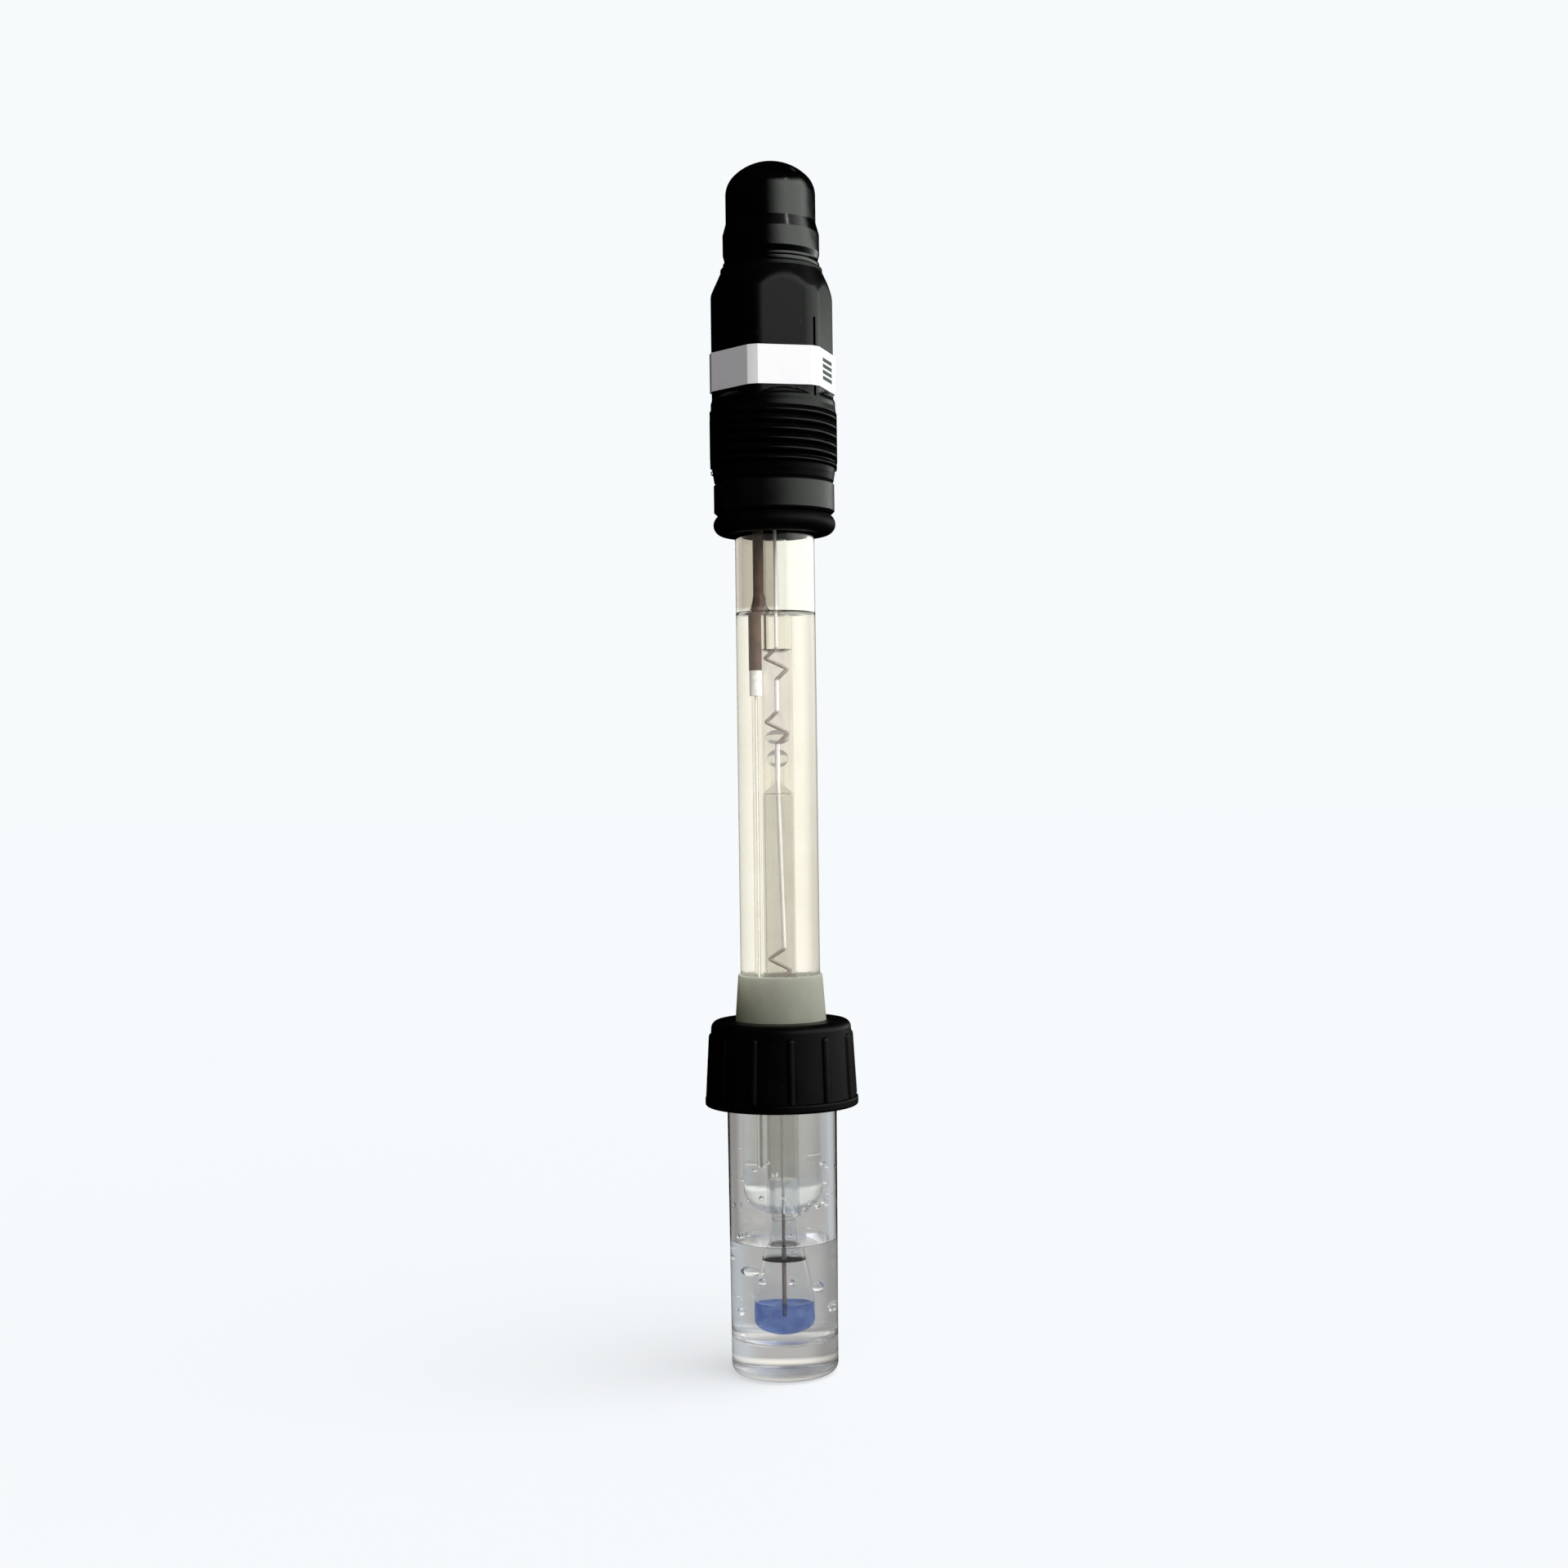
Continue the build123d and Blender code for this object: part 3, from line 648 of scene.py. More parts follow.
def close_mesh(work: bmesh.types.BMesh, name: str) -> bpy.types.Mesh:
    """Ends a mesh under construction: doubles merged, faces outward, smooth where it is round.

    Args:
        work: The mesh under construction, which is freed.
        name: The mesh's name.

    Returns:
        The finished mesh.
    """
    bmesh.ops.remove_doubles(work, verts=work.verts, dist=MERGE_DISTANCE)
    bmesh.ops.recalc_face_normals(work, faces=work.faces)
    for face in work.faces:
        face.smooth = True
    for edge in work.edges:
        edge.smooth = not edge.is_manifold or edge.calc_face_angle(0.0) < SHARP_ANGLE
    mesh = bpy.data.meshes.new(name)
    work.to_mesh(mesh)
    work.free()
    return mesh


def lathe(
    name: str,
    outline: Sequence[Point],
    segments: int,
    axis: Point = (0.0, 0.0),
    reach: Optional[Reach] = None,
) -> bpy.types.Mesh:
    """Closed solid turned about an upright axis.

    Args:
        name: The mesh's name.
        outline: Radius and height of the closed outline's points, in mm. It may touch the axis.
        segments: Steps round the axis.
        axis: Place of the axis, in mm.
        reach: The radius in a direction, from the outline's radius, the height and the angle, if it varies.

    Returns:
        The mesh, in metres.
    """
    work = bmesh.new()
    rings: list[list[bmesh.types.BMVert]] = []
    for radius, height in outline:
        ring = []
        for step in range(segments if radius > ON_AXIS_MM else 1):
            angle = 2.0 * math.pi * step / segments
            away = reach(radius, height, angle) if reach else radius
            x = axis[0] + away * math.cos(angle)
            y = axis[1] + away * math.sin(angle)
            ring.append(work.verts.new((x * MM, y * MM, height * MM)))
        rings.append(ring)
    for index, ring in enumerate(rings):
        band = (rings[index - 1], ring)
        if len(band[0]) == 1 and len(band[1]) == 1:
            continue
        for step in range(segments):
            corners = []
            for circle, shift in ((0, 0), (0, 1), (1, 1), (1, 0)):
                vert = band[circle][(step + shift) % len(band[circle])]
                if vert not in corners:
                    corners.append(vert)
            work.faces.new(corners)
    return close_mesh(work, name)


@dataclass
class GrownPiece(ABC):
    """A piece whose mesh is made by a node tree."""

    smooth: ClassVar[bool] = True
    name: str

    @abstractmethod
    def sizes(self) -> dict[str, float]:
        """The tree's inputs by name, lengths in metres."""

    @abstractmethod
    def shape(self, graph: Graph, size: dict[str, Wire]) -> Wire:
        """Geometry of the piece.

        Args:
            graph: The tree's graph.
            size: The tree's inputs by name.

        Returns:
            The geometry.
        """

    def tree(self, material: bpy.types.Material) -> bpy.types.NodeTree:
        """Node tree of the piece.

        Args:
            material: The piece's finish.

        Returns:
            The tree, with the piece's sizes as its inputs.
        """
        tree = bpy.data.node_groups.new(self.name, "GeometryNodeTree")
        tree.interface.new_socket("Geometry", in_out="OUTPUT", socket_type="NodeSocketGeometry")
        for title in self.sizes():
            tree.interface.new_socket(title, in_out="INPUT", socket_type="NodeSocketFloat")
        graph = Graph(tree)
        inputs = graph.add("NodeGroupInput")
        shape = self.shape(graph, {title: inputs.twin(title) for title in self.sizes()})
        real = graph.add("GeometryNodeRealizeInstances", sockets={"Geometry": shape})
        if self.smooth:
            real = graph.add("GeometryNodeSetShadeSmooth", sockets={"Geometry": real})
        dressed = graph.add("GeometryNodeSetMaterial", sockets={"Geometry": real, "Material": material})
        graph.add("NodeGroupOutput", sockets={0: dressed})
        return tree

    def mesh(self, material: bpy.types.Material) -> bpy.types.Mesh:
        """Evaluates the tree once and keeps its result.

        Args:
            material: The piece's finish.

        Returns:
            The result as a plain mesh, in metres.
        """
        seed = bpy.data.objects.new(self.name, bpy.data.meshes.new(self.name + "_seed"))
        bpy.context.scene.collection.objects.link(seed)
        modifier = seed.modifiers.new(self.name, "NODES")
        modifier.node_group = self.tree(material)
        sizes = self.sizes()
        for item in modifier.node_group.interface.items_tree:
            if item.item_type == "SOCKET" and item.in_out == "INPUT":
                modifier[item.identifier] = sizes[item.name]
        view = bpy.context.evaluated_depsgraph_get()
        mesh = bpy.data.meshes.new_from_object(seed.evaluated_get(view))
        bpy.data.objects.remove(seed)
        mesh.name = self.name
        return mesh


@dataclass
class Helix(GrownPiece):
    """Ridge of a screw thread: a profile swept along a helix and thin at both ends."""

    smooth: ClassVar[bool] = False
    base_z: float
    root: float
    crest: float
    pitch: float
    turns: float
    foot_width: float
    crest_width: float
    sink: float
    fade: float
    fade_end: float = 0.06
    thin: float = 0.02
    steps: int = 96

    def sizes(self) -> dict[str, float]:
        """The tree's inputs by name, lengths in metres."""
        return {
            "Root": self.root * MM,
            "Height": self.pitch * self.turns * MM,
            "Turns": self.turns,
            "Base": self.base_z * MM,
            "Fade": self.fade,
            "Fade End": self.fade_end,
        }

    def shape(self, graph: Graph, size: dict[str, Wire]) -> Wire:
        """Geometry of the ridge.

        Args:
            graph: The tree's graph.
            size: The tree's inputs by name.

        Returns:
            The geometry.
        """
        spiral = {"Resolution": self.steps, "Rotations": size["Turns"], "Height": size["Height"]}
        spiral |= {"Start Radius": size["Root"], "End Radius": size["Root"]}
        helix = graph.add("GeometryNodeCurveSpiral", sockets=spiral)
        upright = graph.add("GeometryNodeSetCurveNormal", {"mode": "Z_UP"}, {"Curve": helix})
        along = graph.add("GeometryNodeSplineParameter", output="Factor")
        start = along.ramp(0.0, size["Fade"], self.thin)
        end = (1.0 - along).ramp(0.0, size["Fade End"], self.thin)
        rise = (self.crest - self.root) * MM
        foot = self.foot_width * MM / 2.0
        tip = self.crest_width * MM / 2.0
        below = -self.sink * MM
        corners = {
            "Point 1": (below, -foot, 0.0),
            "Point 2": (rise, -tip, 0.0),
            "Point 3": (rise, tip, 0.0),
            "Point 4": (below, foot, 0.0),
        }
        profile = graph.add("GeometryNodeCurvePrimitiveQuadrilateral", {"mode": "POINTS"}, corners)
        sweep = {"Curve": upright, "Profile Curve": profile, "Scale": start * end, "Fill Caps": True}
        ridge = graph.add("GeometryNodeCurveToMesh", sockets=sweep)
        lift = graph.add("ShaderNodeCombineXYZ", sockets={"Z": size["Base"]})
        return graph.add("GeometryNodeTransform", sockets={"Geometry": ridge, "Translation": lift})


@dataclass
class Droplets(GrownPiece):
    """Small drops or bubbles strewn round a rim, with a fixed seed."""

    rim: float
    rim_z: float
    count: int
    smallest: float
    largest: float
    scatter: float
    rise: float
    seed: int
    fineness: int = 3

    def sizes(self) -> dict[str, float]:
        """The tree's inputs by name, lengths in metres."""
        return {"Rim": self.rim * MM, "Height": self.rim_z * MM}

    def shape(self, graph: Graph, size: dict[str, Wire]) -> Wire:
        """Geometry of the drops.

        Args:
            graph: The tree's graph.
            size: The tree's inputs by name.

        Returns:
            The geometry.
        """
        circle = {"Resolution": self.count, "Radius": size["Rim"]}
        rim = graph.add("GeometryNodeCurvePrimitiveCircle", {"mode": "RADIUS"}, circle)
        points = graph.add("GeometryNodeCurveToPoints", {"mode": "EVALUATED"}, {"Curve": rim})
        spread = self.scatter * MM
        limits = {0: (-spread, -spread, 0.0), 1: (spread, spread, self.rise * MM), "Seed": self.seed}
        shift = graph.add("FunctionNodeRandomValue", {"data_type": "FLOAT_VECTOR"}, limits)
        lift = graph.add("ShaderNodeCombineXYZ", sockets={"Z": size["Height"]})
        raised = graph.add("ShaderNodeVectorMath", {"operation": "ADD"}, {0: shift, 1: lift})
        strewn = graph.add("GeometryNodeSetPosition", sockets={"Geometry": points, "Offset": raised})
        drop = graph.add("GeometryNodeMeshIcoSphere", sockets={"Radius": MM, "Subdivisions": self.fineness})
        limits = {2: self.smallest, 3: self.largest, "Seed": self.seed + 1}
        scale = graph.add("FunctionNodeRandomValue", {"data_type": "FLOAT"}, limits, output=1)
        placed = {"Points": strewn, "Instance": drop, "Scale": scale}
        return graph.add("GeometryNodeInstanceOnPoints", sockets=placed)


@dataclass
class KinkedWire(GrownPiece):
    """Wire down the axis with side to side kinks and a slight lean."""

    radius: float
    low_z: float
    top_z: float
    bends_z: tuple[float, ...]
    drop: float
    swing: float
    sway: float
    sway_z: float
    sway_span: float
    pieces: int = 900
    sides: int = 12

    def sizes(self) -> dict[str, float]:
        """The tree's inputs by name, lengths in metres."""
        return {
            "Low": self.low_z * MM,
            "Top": self.top_z * MM,
            "Radius": self.radius * MM,
            "Swing": self.swing * MM,
            "Sway": self.sway * MM,
        }

    @staticmethod
    def tent(height: Wire, middle_mm: float, half_mm: float) -> Wire:
        """Rises to one at a height and falls off evenly on both sides.

        Args:
            height: Height in metres.
            middle_mm: Where it is one.
            half_mm: How far off it is nought.

        Returns:
            The share.
        """
        off = height - middle_mm * MM
        share = 1.0 - off.math("ABSOLUTE", off) / (half_mm * MM)
        return share.math("MAXIMUM", share, 0.0)

    def shape(self, graph: Graph, size: dict[str, Wire]) -> Wire:
        """Geometry of the wire.

        Args:
            graph: The tree's graph.
            size: The tree's inputs by name.

        Returns:
            The geometry.
        """
        ends = {
            title: graph.add("ShaderNodeCombineXYZ", sockets={"Z": size[level]})
            for title, level in (("Start", "Low"), ("End", "Top"))
        }
        line = graph.add("GeometryNodeCurvePrimitiveLine", {"mode": "POINTS"}, ends)
        count = {"Curve": line, "Count": self.pieces}
        fine = graph.add("GeometryNodeResampleCurve", {"mode": "COUNT"}, count)
        place = graph.add("GeometryNodeInputPosition")
        height = graph.add("ShaderNodeSeparateXYZ", sockets={0: place}, output="Z")
        shift = self.tent(height, self.sway_z, self.sway_span) * size["Sway"]
        shift = shift * height.ramp((self.sway_z - self.drop) * MM, self.sway_z * MM)
        for bend_z in self.bends_z:
            shift = shift - self.tent(height, bend_z, self.drop) * size["Swing"]
            shift = shift + self.tent(height, bend_z - self.drop, self.drop) * size["Swing"]
        kept = shift.math("MAXIMUM", shift, 0.0 - size["Swing"])
        kept = kept.math("MINIMUM", kept, size["Swing"])
        aside = graph.add("ShaderNodeCombineXYZ", sockets={"X": kept})
        bent = graph.add("GeometryNodeSetPosition", sockets={"Geometry": fine, "Offset": aside})
        circle = {"Resolution": self.sides, "Radius": size["Radius"]}
        section = graph.add("GeometryNodeCurvePrimitiveCircle", {"mode": "RADIUS"}, circle)
        sweep = {"Curve": bent, "Profile Curve": section, "Fill Caps": True}
        return graph.add("GeometryNodeCurveToMesh", sockets=sweep)


class Bench:
    """Puts finished meshes into the frame and keeps the list of materials."""

    def __init__(self) -> None:
        """Starts with no materials."""
        self.materials: dict[str, bpy.types.Material] = {}

    def finish(self, look: Look) -> bpy.types.Material:
        """Material of a finish, made once.

        Args:
            look: The finish.

        Returns:
            Its material.
        """
        if look.name not in self.materials:
            self.materials[look.name] = look.material()
        return self.materials[look.name]

    def set_piece(
        self, mesh: bpy.types.Mesh, body: Body, look: Look, nodes: Iterable[str] = ()
    ) -> None:
        """Adds a piece to the part. Light passes the clear ones on the electrode without a shadow.

        Args:
            mesh: Its mesh, in place.
            body: Body that it moves with.
            look: Its finish.
            nodes: CAD nodes that it stands for.
        """
        piece = bpy.data.objects.new(mesh.name, mesh)
        bpy.context.scene.collection.objects.link(piece)
        mesh.materials.clear()
        mesh.materials.append(self.finish(look))
        piece.visible_shadow = not (isinstance(look, Clear) and body is Body.ELECTRODE)
        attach(piece, body.value)
        if nodes:
            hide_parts(*nodes)
        LOG.info("%s rides on %s, %d faces", piece.name, body.value, len(mesh.polygons))

    def grow_piece(
        self, piece: GrownPiece, body: Body, look: Look, nodes: Iterable[str] = ()
    ) -> None:
        """Adds a piece that a node tree makes, as set_piece adds a mesh."""
        self.set_piece(piece.mesh(self.finish(look)), body, look, nodes)

    def dress_nodes(self, looks: dict[str, Look]) -> None:
        """Gives CAD nodes that keep their shape a finish.

        Args:
            looks: The finish of each node by the node's name.
        """
        for node, look in looks.items():
            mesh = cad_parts[node].data
            mesh.materials.clear()
            mesh.materials.append(self.finish(look))
            LOG.info("%s keeps its CAD shape", node)


@dataclass
class ConnectorEnd:
    """Boot and the connector that it covers."""

    rim: float = 7.3
    upper: float = 6.8
    wall: float = 1.0
    base_z: float = 166.15
    bulge_z: float = 171.25
    step_z: float = 173.05
    dome_z: float = 177.25
    top_z: float = 182.35
    step_fillet: float = 0.5
    corner: float = 3.9
    bead: float = 0.22
    bead_edge: float = 0.198
    bead_tall: float = 0.66
    groove_low: float = 0.99
    groove_high: float = 1.32
    flank_high: float = 2.2
    flank_fillet: float = 0.66
    shell_top_z: float = 176.9
    shell_base_z: float = 156.9
    head_top_z: float = 166.1
    flange: float = 6.05
    flange_z: float = 167.4
    flange_round: float = 0.15
    groove_z: float = 169.4
    groove_root: float = 4.45
    tail: float = 4.6
    thread_crest: float = 5.5
    thread_root: float = 5.12
    thread_pitch: float = 0.75
    thread_start: float = 0.45
    thread_short: float = 0.9
    thread_foot_share: float = 0.95
    thread_tip_share: float = 0.15
    socket: float = 3.6
    socket_z: float = 169.5
    socket_round: float = 0.12
    bore: float = 2.2
    edge: float = 0.4

    def crown(self, inset: float) -> list[Point]:
        """Points of the boot's domed top from the wall to the crown, set in from the outer surface."""
        height = self.top_z - self.dome_z - inset
        return dome(self.upper - inset, self.corner - inset, height, self.dome_z)

    def boot_mesh(self) -> bpy.types.Mesh:
        """Dip-moulded boot with a rolled bead at its rim.

        Returns:
            The mesh, in metres.
        """
        waist = self.rim - self.bead
        outer = rounded(
            [
                (waist, self.base_z, 0.0),
                (self.rim, self.base_z, self.bead_edge),
                (self.rim, self.base_z + self.bead_tall, self.bead),
                (waist, self.base_z + self.groove_low, self.bead),
                (waist, self.base_z + self.groove_high, self.bead),
                (self.rim, self.base_z + self.flank_high, self.flank_fillet),
                (self.rim, self.bulge_z, self.step_fillet),
                (self.upper, self.step_z, self.step_fillet),
                (self.upper, self.dome_z, 0.0),
            ]
        )
        inner = [(self.upper - self.wall, self.dome_z), (self.upper - self.wall, self.step_z)]
        inner += [(self.rim - self.wall, self.bulge_z), (self.rim - self.wall, self.base_z)]
        outline = outer[:-1] + self.crown(0.0) + list(reversed(self.crown(self.wall)))[:-1] + inner
        return lathe("boot", outline, segments=144)

    def shell_mesh(self) -> bpy.types.Mesh:
        """Plated shell, turned down to the root of its thread.

        Returns:
            The mesh, in metres.
        """
        corners = [
            (self.bore, self.shell_base_z, 0.0),
            (self.tail, self.shell_base_z, 0.0),
            (self.tail, self.head_top_z, 0.0),
            (self.flange, self.head_top_z, self.flange_round),
            (self.flange, self.flange_z, self.flange_round),
            (self.groove_root, self.flange_z, 0.0),
            (self.groove_root, self.groove_z, 0.0),
            (self.thread_root, self.groove_z, 0.0),
            (self.thread_root, self.shell_top_z - self.edge, 0.0),
            (self.thread_root - self.edge, self.shell_top_z, 0.0),
            (self.socket, self.shell_top_z, self.socket_round),
            (self.socket, self.socket_z, 0.0),
            (self.bore, self.socket_z, 0.0),
        ]
        return lathe("shell", rounded(corners, steps=4), segments=96)

    def thread(self) -> Helix:
        """Fine thread of the shell's barrel.

        Returns:
            The ridge, as a piece to grow.
        """
        length = self.shell_top_z - self.edge - self.groove_z
        return Helix(
            name="shell_thread",
            base_z=self.groove_z + self.thread_start,
            root=self.thread_root,
            crest=self.thread_crest,
            pitch=self.thread_pitch,
            turns=(length - self.thread_short) / self.thread_pitch,
            foot_width=self.thread_pitch * self.thread_foot_share,
            crest_width=self.thread_pitch * self.thread_tip_share,
            sink=0.06,
            fade=0.05,
            steps=64,
        )

    def build(self, bench: Bench) -> None:
        """Adds the boot, the shell with its thread and what they hold.

        Args:
            bench: Where pieces and materials are kept.
        """
        bench.set_piece(self.boot_mesh(), Body.BOOT, BOOT_VINYL, ["connector_boot"])
        bench.set_piece(self.shell_mesh(), Body.ELECTRODE, PLATED_BRASS, ["connector_shell"])
        bench.grow_piece(self.thread(), Body.ELECTRODE, PLATED_BRASS)
        bench.dress_nodes(
            {
                "connector_seal": SEAL_RUBBER,
                "connector_insulator": INSULATOR_WHITE,
                "centre_contact": CONTACT_PLATING,
            }
        )


@dataclass
class PlugHead:
    """Black head with its thread and six flats, its label and the two rings under it."""

    bore: float = 6.3
    base_z: float = 133.9
    foot_inset: float = 0.6
    foot_round: float = 0.25
    lead_radius: float = 9.0
    lead_z: float = 137.3
    lead_round: float = 1.0
    thread_root: float = 9.5
    thread_crest: float = 10.2
    thread_pitch: float = 1.411
    thread_start: float = 0.9
    thread_short: float = 0.6
    thread_foot_share: float = 1.12
    thread_tip_share: float = 0.14
    thread_end_z: float = 144.3
    relief_z: float = 145.1
    relief_round: float = 0.3
    hex_base_z: float = 146.1
    hex_apothem: float = 8.5
    hex_corner: float = 9.4
    hex_turn: float = 12.3
    chamfer_z: float = 161.8
    chamfer_fillet: float = 2.2
    rim: float = 7.7
    rim_z: float = 165.5
    rim_round: float = 0.25
    top_z: float = 166.1
    top_inset: float = 0.5
    top_round: float = 0.15
    tail: float = 4.6
    socket_z: float = 156.9
    edge_round: float = 0.35
    slot_width: float = 0.4
    slot_depth: float = 0.45
    slot_top_z: float = 157.5
    row: float = 0.25
    segments: int = 720

    def front(self) -> float:
        """Direction of the front flat, in radians."""
        return math.radians(self.hex_turn) - math.pi / 2.0

    def hexagon(self, angle: float) -> float:
        """Distance in mm from the axis to the six flats, with softly rounded corners."""
        off = (angle - self.front() + FLAT_STEP / 2.0) % FLAT_STEP - FLAT_STEP / 2.0
        return self.soft_least(self.hex_apothem / math.cos(off), self.hex_corner)

    def soft_least(self, first: float, second: float) -> float:
        """The smaller of two lengths, with the change between them rounded."""
        blend = max(self.edge_round - abs(first - second), 0.0) / self.edge_round
        return min(first, second) - blend * blend * self.edge_round / 4.0

    def slot_cut(self, angle: float, height: float) -> float:
        """Depth of the narrow slot on the corner to the right of the front.

        Args:
            angle: Direction in radians.
            height: Height in mm.

        Returns:
            The depth, in mm.
        """
        corner = self.front() + FLAT_STEP / 2.0
        off = (angle - corner + math.pi) % (2.0 * math.pi) - math.pi
        inside = abs(off) * self.hex_corner < self.slot_width / 2.0
        return self.slot_depth if inside and self.hex_base_z < height < self.slot_top_z else 0.0

    def reach(self, radius: float, height: float, angle: float) -> float:
        """Distance from the axis to the surface, with the flats, their conical shoulder and the slot.

        Args:
            radius: Radius there if the head were round, in mm.
            height: Height in mm.
            angle: Direction in radians.

        Returns:
            The distance, in mm.
        """
        if radius <= self.bore or height <= self.relief_z:
            return radius
        shoulder = self.hex_corner - (height - self.hex_base_z)
        flat = max(self.hexagon(angle), min(shoulder, self.hex_corner))
        cut = self.soft_least(radius, flat) if height > self.hex_base_z else min(radius, flat)
        return cut - self.slot_cut(angle, height)

    def outline(self) -> list[Point]:
        """Outer profile from the foot to the rim, as if the head were round.

        Returns:
            Radius and height of each point, in mm.
        """
        corners = [
            (self.lead_radius - self.foot_inset, self.base_z, 0.0),
            (self.lead_radius, self.base_z, self.foot_round),
            (self.thread_root, self.lead_z, self.lead_round),
            (self.thread_root, self.thread_end_z, self.relief_round),
            (self.hex_corner, self.relief_z, self.relief_round),
            (self.hex_corner, self.chamfer_z, self.chamfer_fillet),
            (self.rim, self.rim_z, self.rim_round),
            (self.rim, self.top_z, self.top_round),
            (self.rim - self.top_inset, self.top_z, 0.0),
        ]
        return rounded(corners, steps=6)

    def rows(self) -> list[Point]:
        """Outer profile with close rows along the flats and the chamfer above them.

        Returns:
            Radius and height of each point, in mm.
        """
        profile = self.outline()
        rows = [profile[0]]
        for before, after in zip(profile, profile[1:]):
            span = after[1] - before[1]
            count = max(1, math.ceil(span / self.row)) if self.relief_z < after[1] < self.rim_z else 1
            for step in range(1, count + 1):
                share = step / count
                rows.append((before[0] + (after[0] - before[0]) * share, before[1] + span * share))
        return rows

    def head_mesh(self) -> bpy.types.Mesh:
        """Head with its flats, conical shoulder, slot and bore, its barrel turned to the thread's root.

        Returns:
            The mesh, in metres.
        """
        inner = [(self.tail, self.top_z), (self.tail, self.socket_z), (self.bore, self.socket_z)]
        inner.append((self.bore, self.base_z))
        return lathe("head", self.rows() + inner, self.segments, reach=self.reach)

    def thread(self) -> Helix:
        """Coarse thread of the head.

        Returns:
            The ridge, as a piece to grow.
        """
        length = self.thread_end_z - self.base_z
        return Helix(
            name="head_thread",
            base_z=self.base_z + self.thread_start,
            root=self.thread_root,
            crest=self.thread_crest,
            pitch=self.thread_pitch,
            turns=(length - self.thread_short) / self.thread_pitch,
            foot_width=self.thread_pitch * self.thread_foot_share,
            crest_width=self.thread_pitch * self.thread_tip_share,
            sink=0.12,
            fade=0.3,
            fade_end=0.09,
        )

    def build(self, bench: Bench) -> None:
        """Adds the head, its thread and the rings, label, cement and potting that it carries.

        Args:
            bench: Where pieces and materials are kept.
        """
        bench.set_piece(self.head_mesh(), Body.ELECTRODE, HEAD_PLASTIC, ["plug_head"])
        bench.grow_piece(self.thread(), Body.ELECTRODE, THREAD_PLASTIC)
        bench.dress_nodes(
            {
                "label_band": LABEL_FILM,
                "thrust_ring": THRUST_PLASTIC,
                "shaft_o_ring": SEAL_RUBBER,
                "head_cement": CEMENT,
                "head_potting": POTTING_RESIN,
            }
        )


@dataclass(frozen=True)
class Bead:
    """Egg-shaped bead on the neck of the gel column."""

    name: str
    radius: float
    tall: float
    middle_z: float
    steps: int = 24

    def mesh(self) -> bpy.types.Mesh:
        """Turns the egg's outline about the axis.

        Returns:
            The mesh, in metres.
        """
        turns = [math.pi * step / self.steps for step in range(self.steps + 1)]
        heights = [self.middle_z - math.cos(turn) * self.tall / 2.0 for turn in turns]
        outline = [(self.radius * math.sin(turn), height) for turn, height in zip(turns, heights)]
        return lathe(self.name, outline, segments=96)


